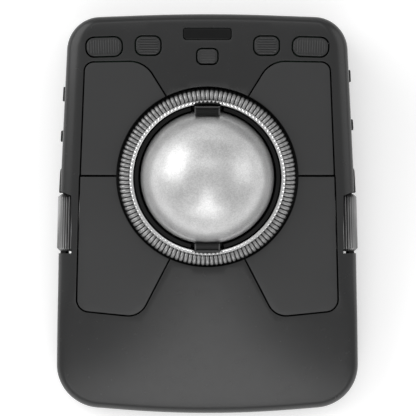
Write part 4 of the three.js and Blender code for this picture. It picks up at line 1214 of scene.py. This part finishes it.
def make_socket():
    """The charging socket: a rounded metal shell, open at the back, with its tongue inside."""
    middle = (USB["bottom"] + USB["top"]) / 2
    size = (2 * USB["half"], USB["top"] - USB["bottom"])

    def loop(y, grow):
        corners = rounded_rectangle(0, middle, *size, USB["corner"], grow=grow)
        return np.insert(outline(corners, 12, 2)[0], 1, y, axis=1)

    front, back, wall = USB["front"], USB["back"], USB["wall"]
    stations = [
        (front, -0.1), (front + 0.1, 0), (back - 0.1, 0), (back, -0.1),
        (back, 0.1 - wall), (back - 0.1, -wall), (front + 1, -wall),
    ]
    shell = tube([loop(y, grow) for y, grow in stations])
    tongue = outline(rounded_rectangle(*TONGUE), 15, 2)[0]
    tongue = tube([np.insert(tongue, 1, y, axis=1) for y in (front + 0.8, back - 0.8)])
    make_piece("usb_socket_shell", "case", "usb_socket", joined([shell, tongue]), [steel])


# ---- Carried-over CAD nodes ----

NODE_MATERIALS = {
    "frame_plastic": frame_plastic, "steel": steel, "board": board_mask, "foot": foot_rubber,
    "battery": battery_foil, "lead": lead_rubber, "window": lens_gloss, "cup": cup_plastic,
    "case": base_plastic, "side_control": side_plastic, "key": key_plastic, "button": button_plastic,
    "ring": ring_metal, "roller": roller_metal, "ball": ball_resin,
}


def finish_nodes():
    for subpart in frame["record"]["subparts"]:
        mesh = frame["nodes"][subpart["node"]].data
        mesh.materials.clear()
        mesh.materials.append(NODE_MATERIALS[subpart["material_slot"]])


# ---- Stage ----

def make_stage():
    floor = bpy.data.meshes.new("floor")
    floor.from_pydata([(-3, -3, 0), (3, -3, 0), (3, 3, 0), (-3, 3, 0)], [], [(0, 1, 2, 3)])
    made = Surface("pale_floor")
    floor.materials.append(made.finish({
        "Base Color": made.mix(made.noise(3), grey(0.92), grey(0.94)),
        "Roughness": 0.9,
        "Specular IOR Level": 0.1,
        "Emission Color": (1, 1, 1, 1),
        "Emission Strength": 0.30,
    }))
    made = bpy.data.objects.new("floor", floor)
    bpy.context.scene.collection.objects.link(made)


# The overhead panels: their height and brightness, and each one's front and back end and half its width.
PANEL_HEIGHT = 0.7
PANEL_BRIGHTNESS = 2.0
PANELS = [(-0.40, -0.20, 0.06), (-0.60, -0.40, 0.11), (-0.80, -0.60, 0.19), (-1.10, -0.80, 0.32)]
# Place, what it is aimed at, width and height, and brightness.
MIDDLE = (0, 0, 0.03)
SOFTBOXES = {
    "rear_panel": ((0, 0.30, PANEL_HEIGHT), (0, 0.30, 0), (0.5, 0.2), 1.1),
    "front_softbox": ((0, -1.10, 0.55), MIDDLE, (1.5, 0.35), 1.3),
    "left_softbox": ((-0.75, 0.35, 0.50), MIDDLE, (0.9, 0.7), 2.0),
    "right_softbox": ((0.85, 0.20, 0.45), MIDDLE, (0.7, 0.6), 1.0),
    "back_softbox": ((0, 1.05, 0.35), MIDDLE, (1.4, 0.15), 1.2),
}
WORLD_BRIGHTNESS = 0.5
# The camera looks straight down; sensor and lens in millimetres, place in metres.
CAMERA = {"sensor": 36, "lens": 308.9, "place": (0.00027, 0.00309, 1.5)}


def add_softbox(name, position, target, size, brightness):
    """A rectangular light aimed at a place; brightness is its radiance."""
    light = bpy.data.lights.new(name, "AREA")
    light.shape = "RECTANGLE"
    light.size, light.size_y = size
    light.energy = brightness * math.pi * size[0] * size[1]
    made = bpy.data.objects.new(name, light)
    made.location = position
    made.rotation_euler = (Vector(target) - Vector(position)).to_track_quat("-Z", "Y").to_euler()
    bpy.context.scene.collection.objects.link(made)


def light_scene():
    world = bpy.data.worlds.new("studio")
    world.use_nodes = True
    background = world.node_tree.nodes["Background"]
    background.inputs["Color"].default_value = (1, 1, 1, 1)
    background.inputs["Strength"].default_value = WORLD_BRIGHTNESS
    bpy.context.scene.world = world
    for i, (front, back, half) in enumerate(PANELS):
        y = (front + back) / 2
        size = (2 * half, back - front)
        add_softbox(f"overhead_panel_{i}", (0, y, PANEL_HEIGHT), (0, y, 0), size, PANEL_BRIGHTNESS)
    for name, box in SOFTBOXES.items():
        add_softbox(name, *box)


def add_camera():
    camera = bpy.data.cameras.new("camera")
    camera.sensor_width = CAMERA["sensor"]
    camera.lens = CAMERA["lens"]
    made = bpy.data.objects.new("camera", camera)
    made.location = CAMERA["place"]
    bpy.context.scene.collection.objects.link(made)
    bpy.context.scene.camera = made


bpy.context.scene.view_settings.view_transform = "Standard"
finish_nodes()
make_top_cover()
for level in BUTTON_CORNERS:
    for side_name in SIDES:
        make_button(level, side_name)
for name, key in KEYS.items():
    make_key(name, key)
make_window()
make_scroll_ring()
make_ball()
make_cup()
make_clip("rear_ball_clip", 1)
make_clip("front_ball_clip", -1)
for side_name in SIDES:
    make_roller(side_name)
    make_fender(side_name)
for name, control in SIDE_CONTROLS.items():
    make_side_control(name, control)
make_base()
for side_name in SIDES:
    for end in FEET:
        make_foot(end, side_name)
        make_screw(end, side_name)
make_socket()
make_stage()
light_scene()
add_camera()
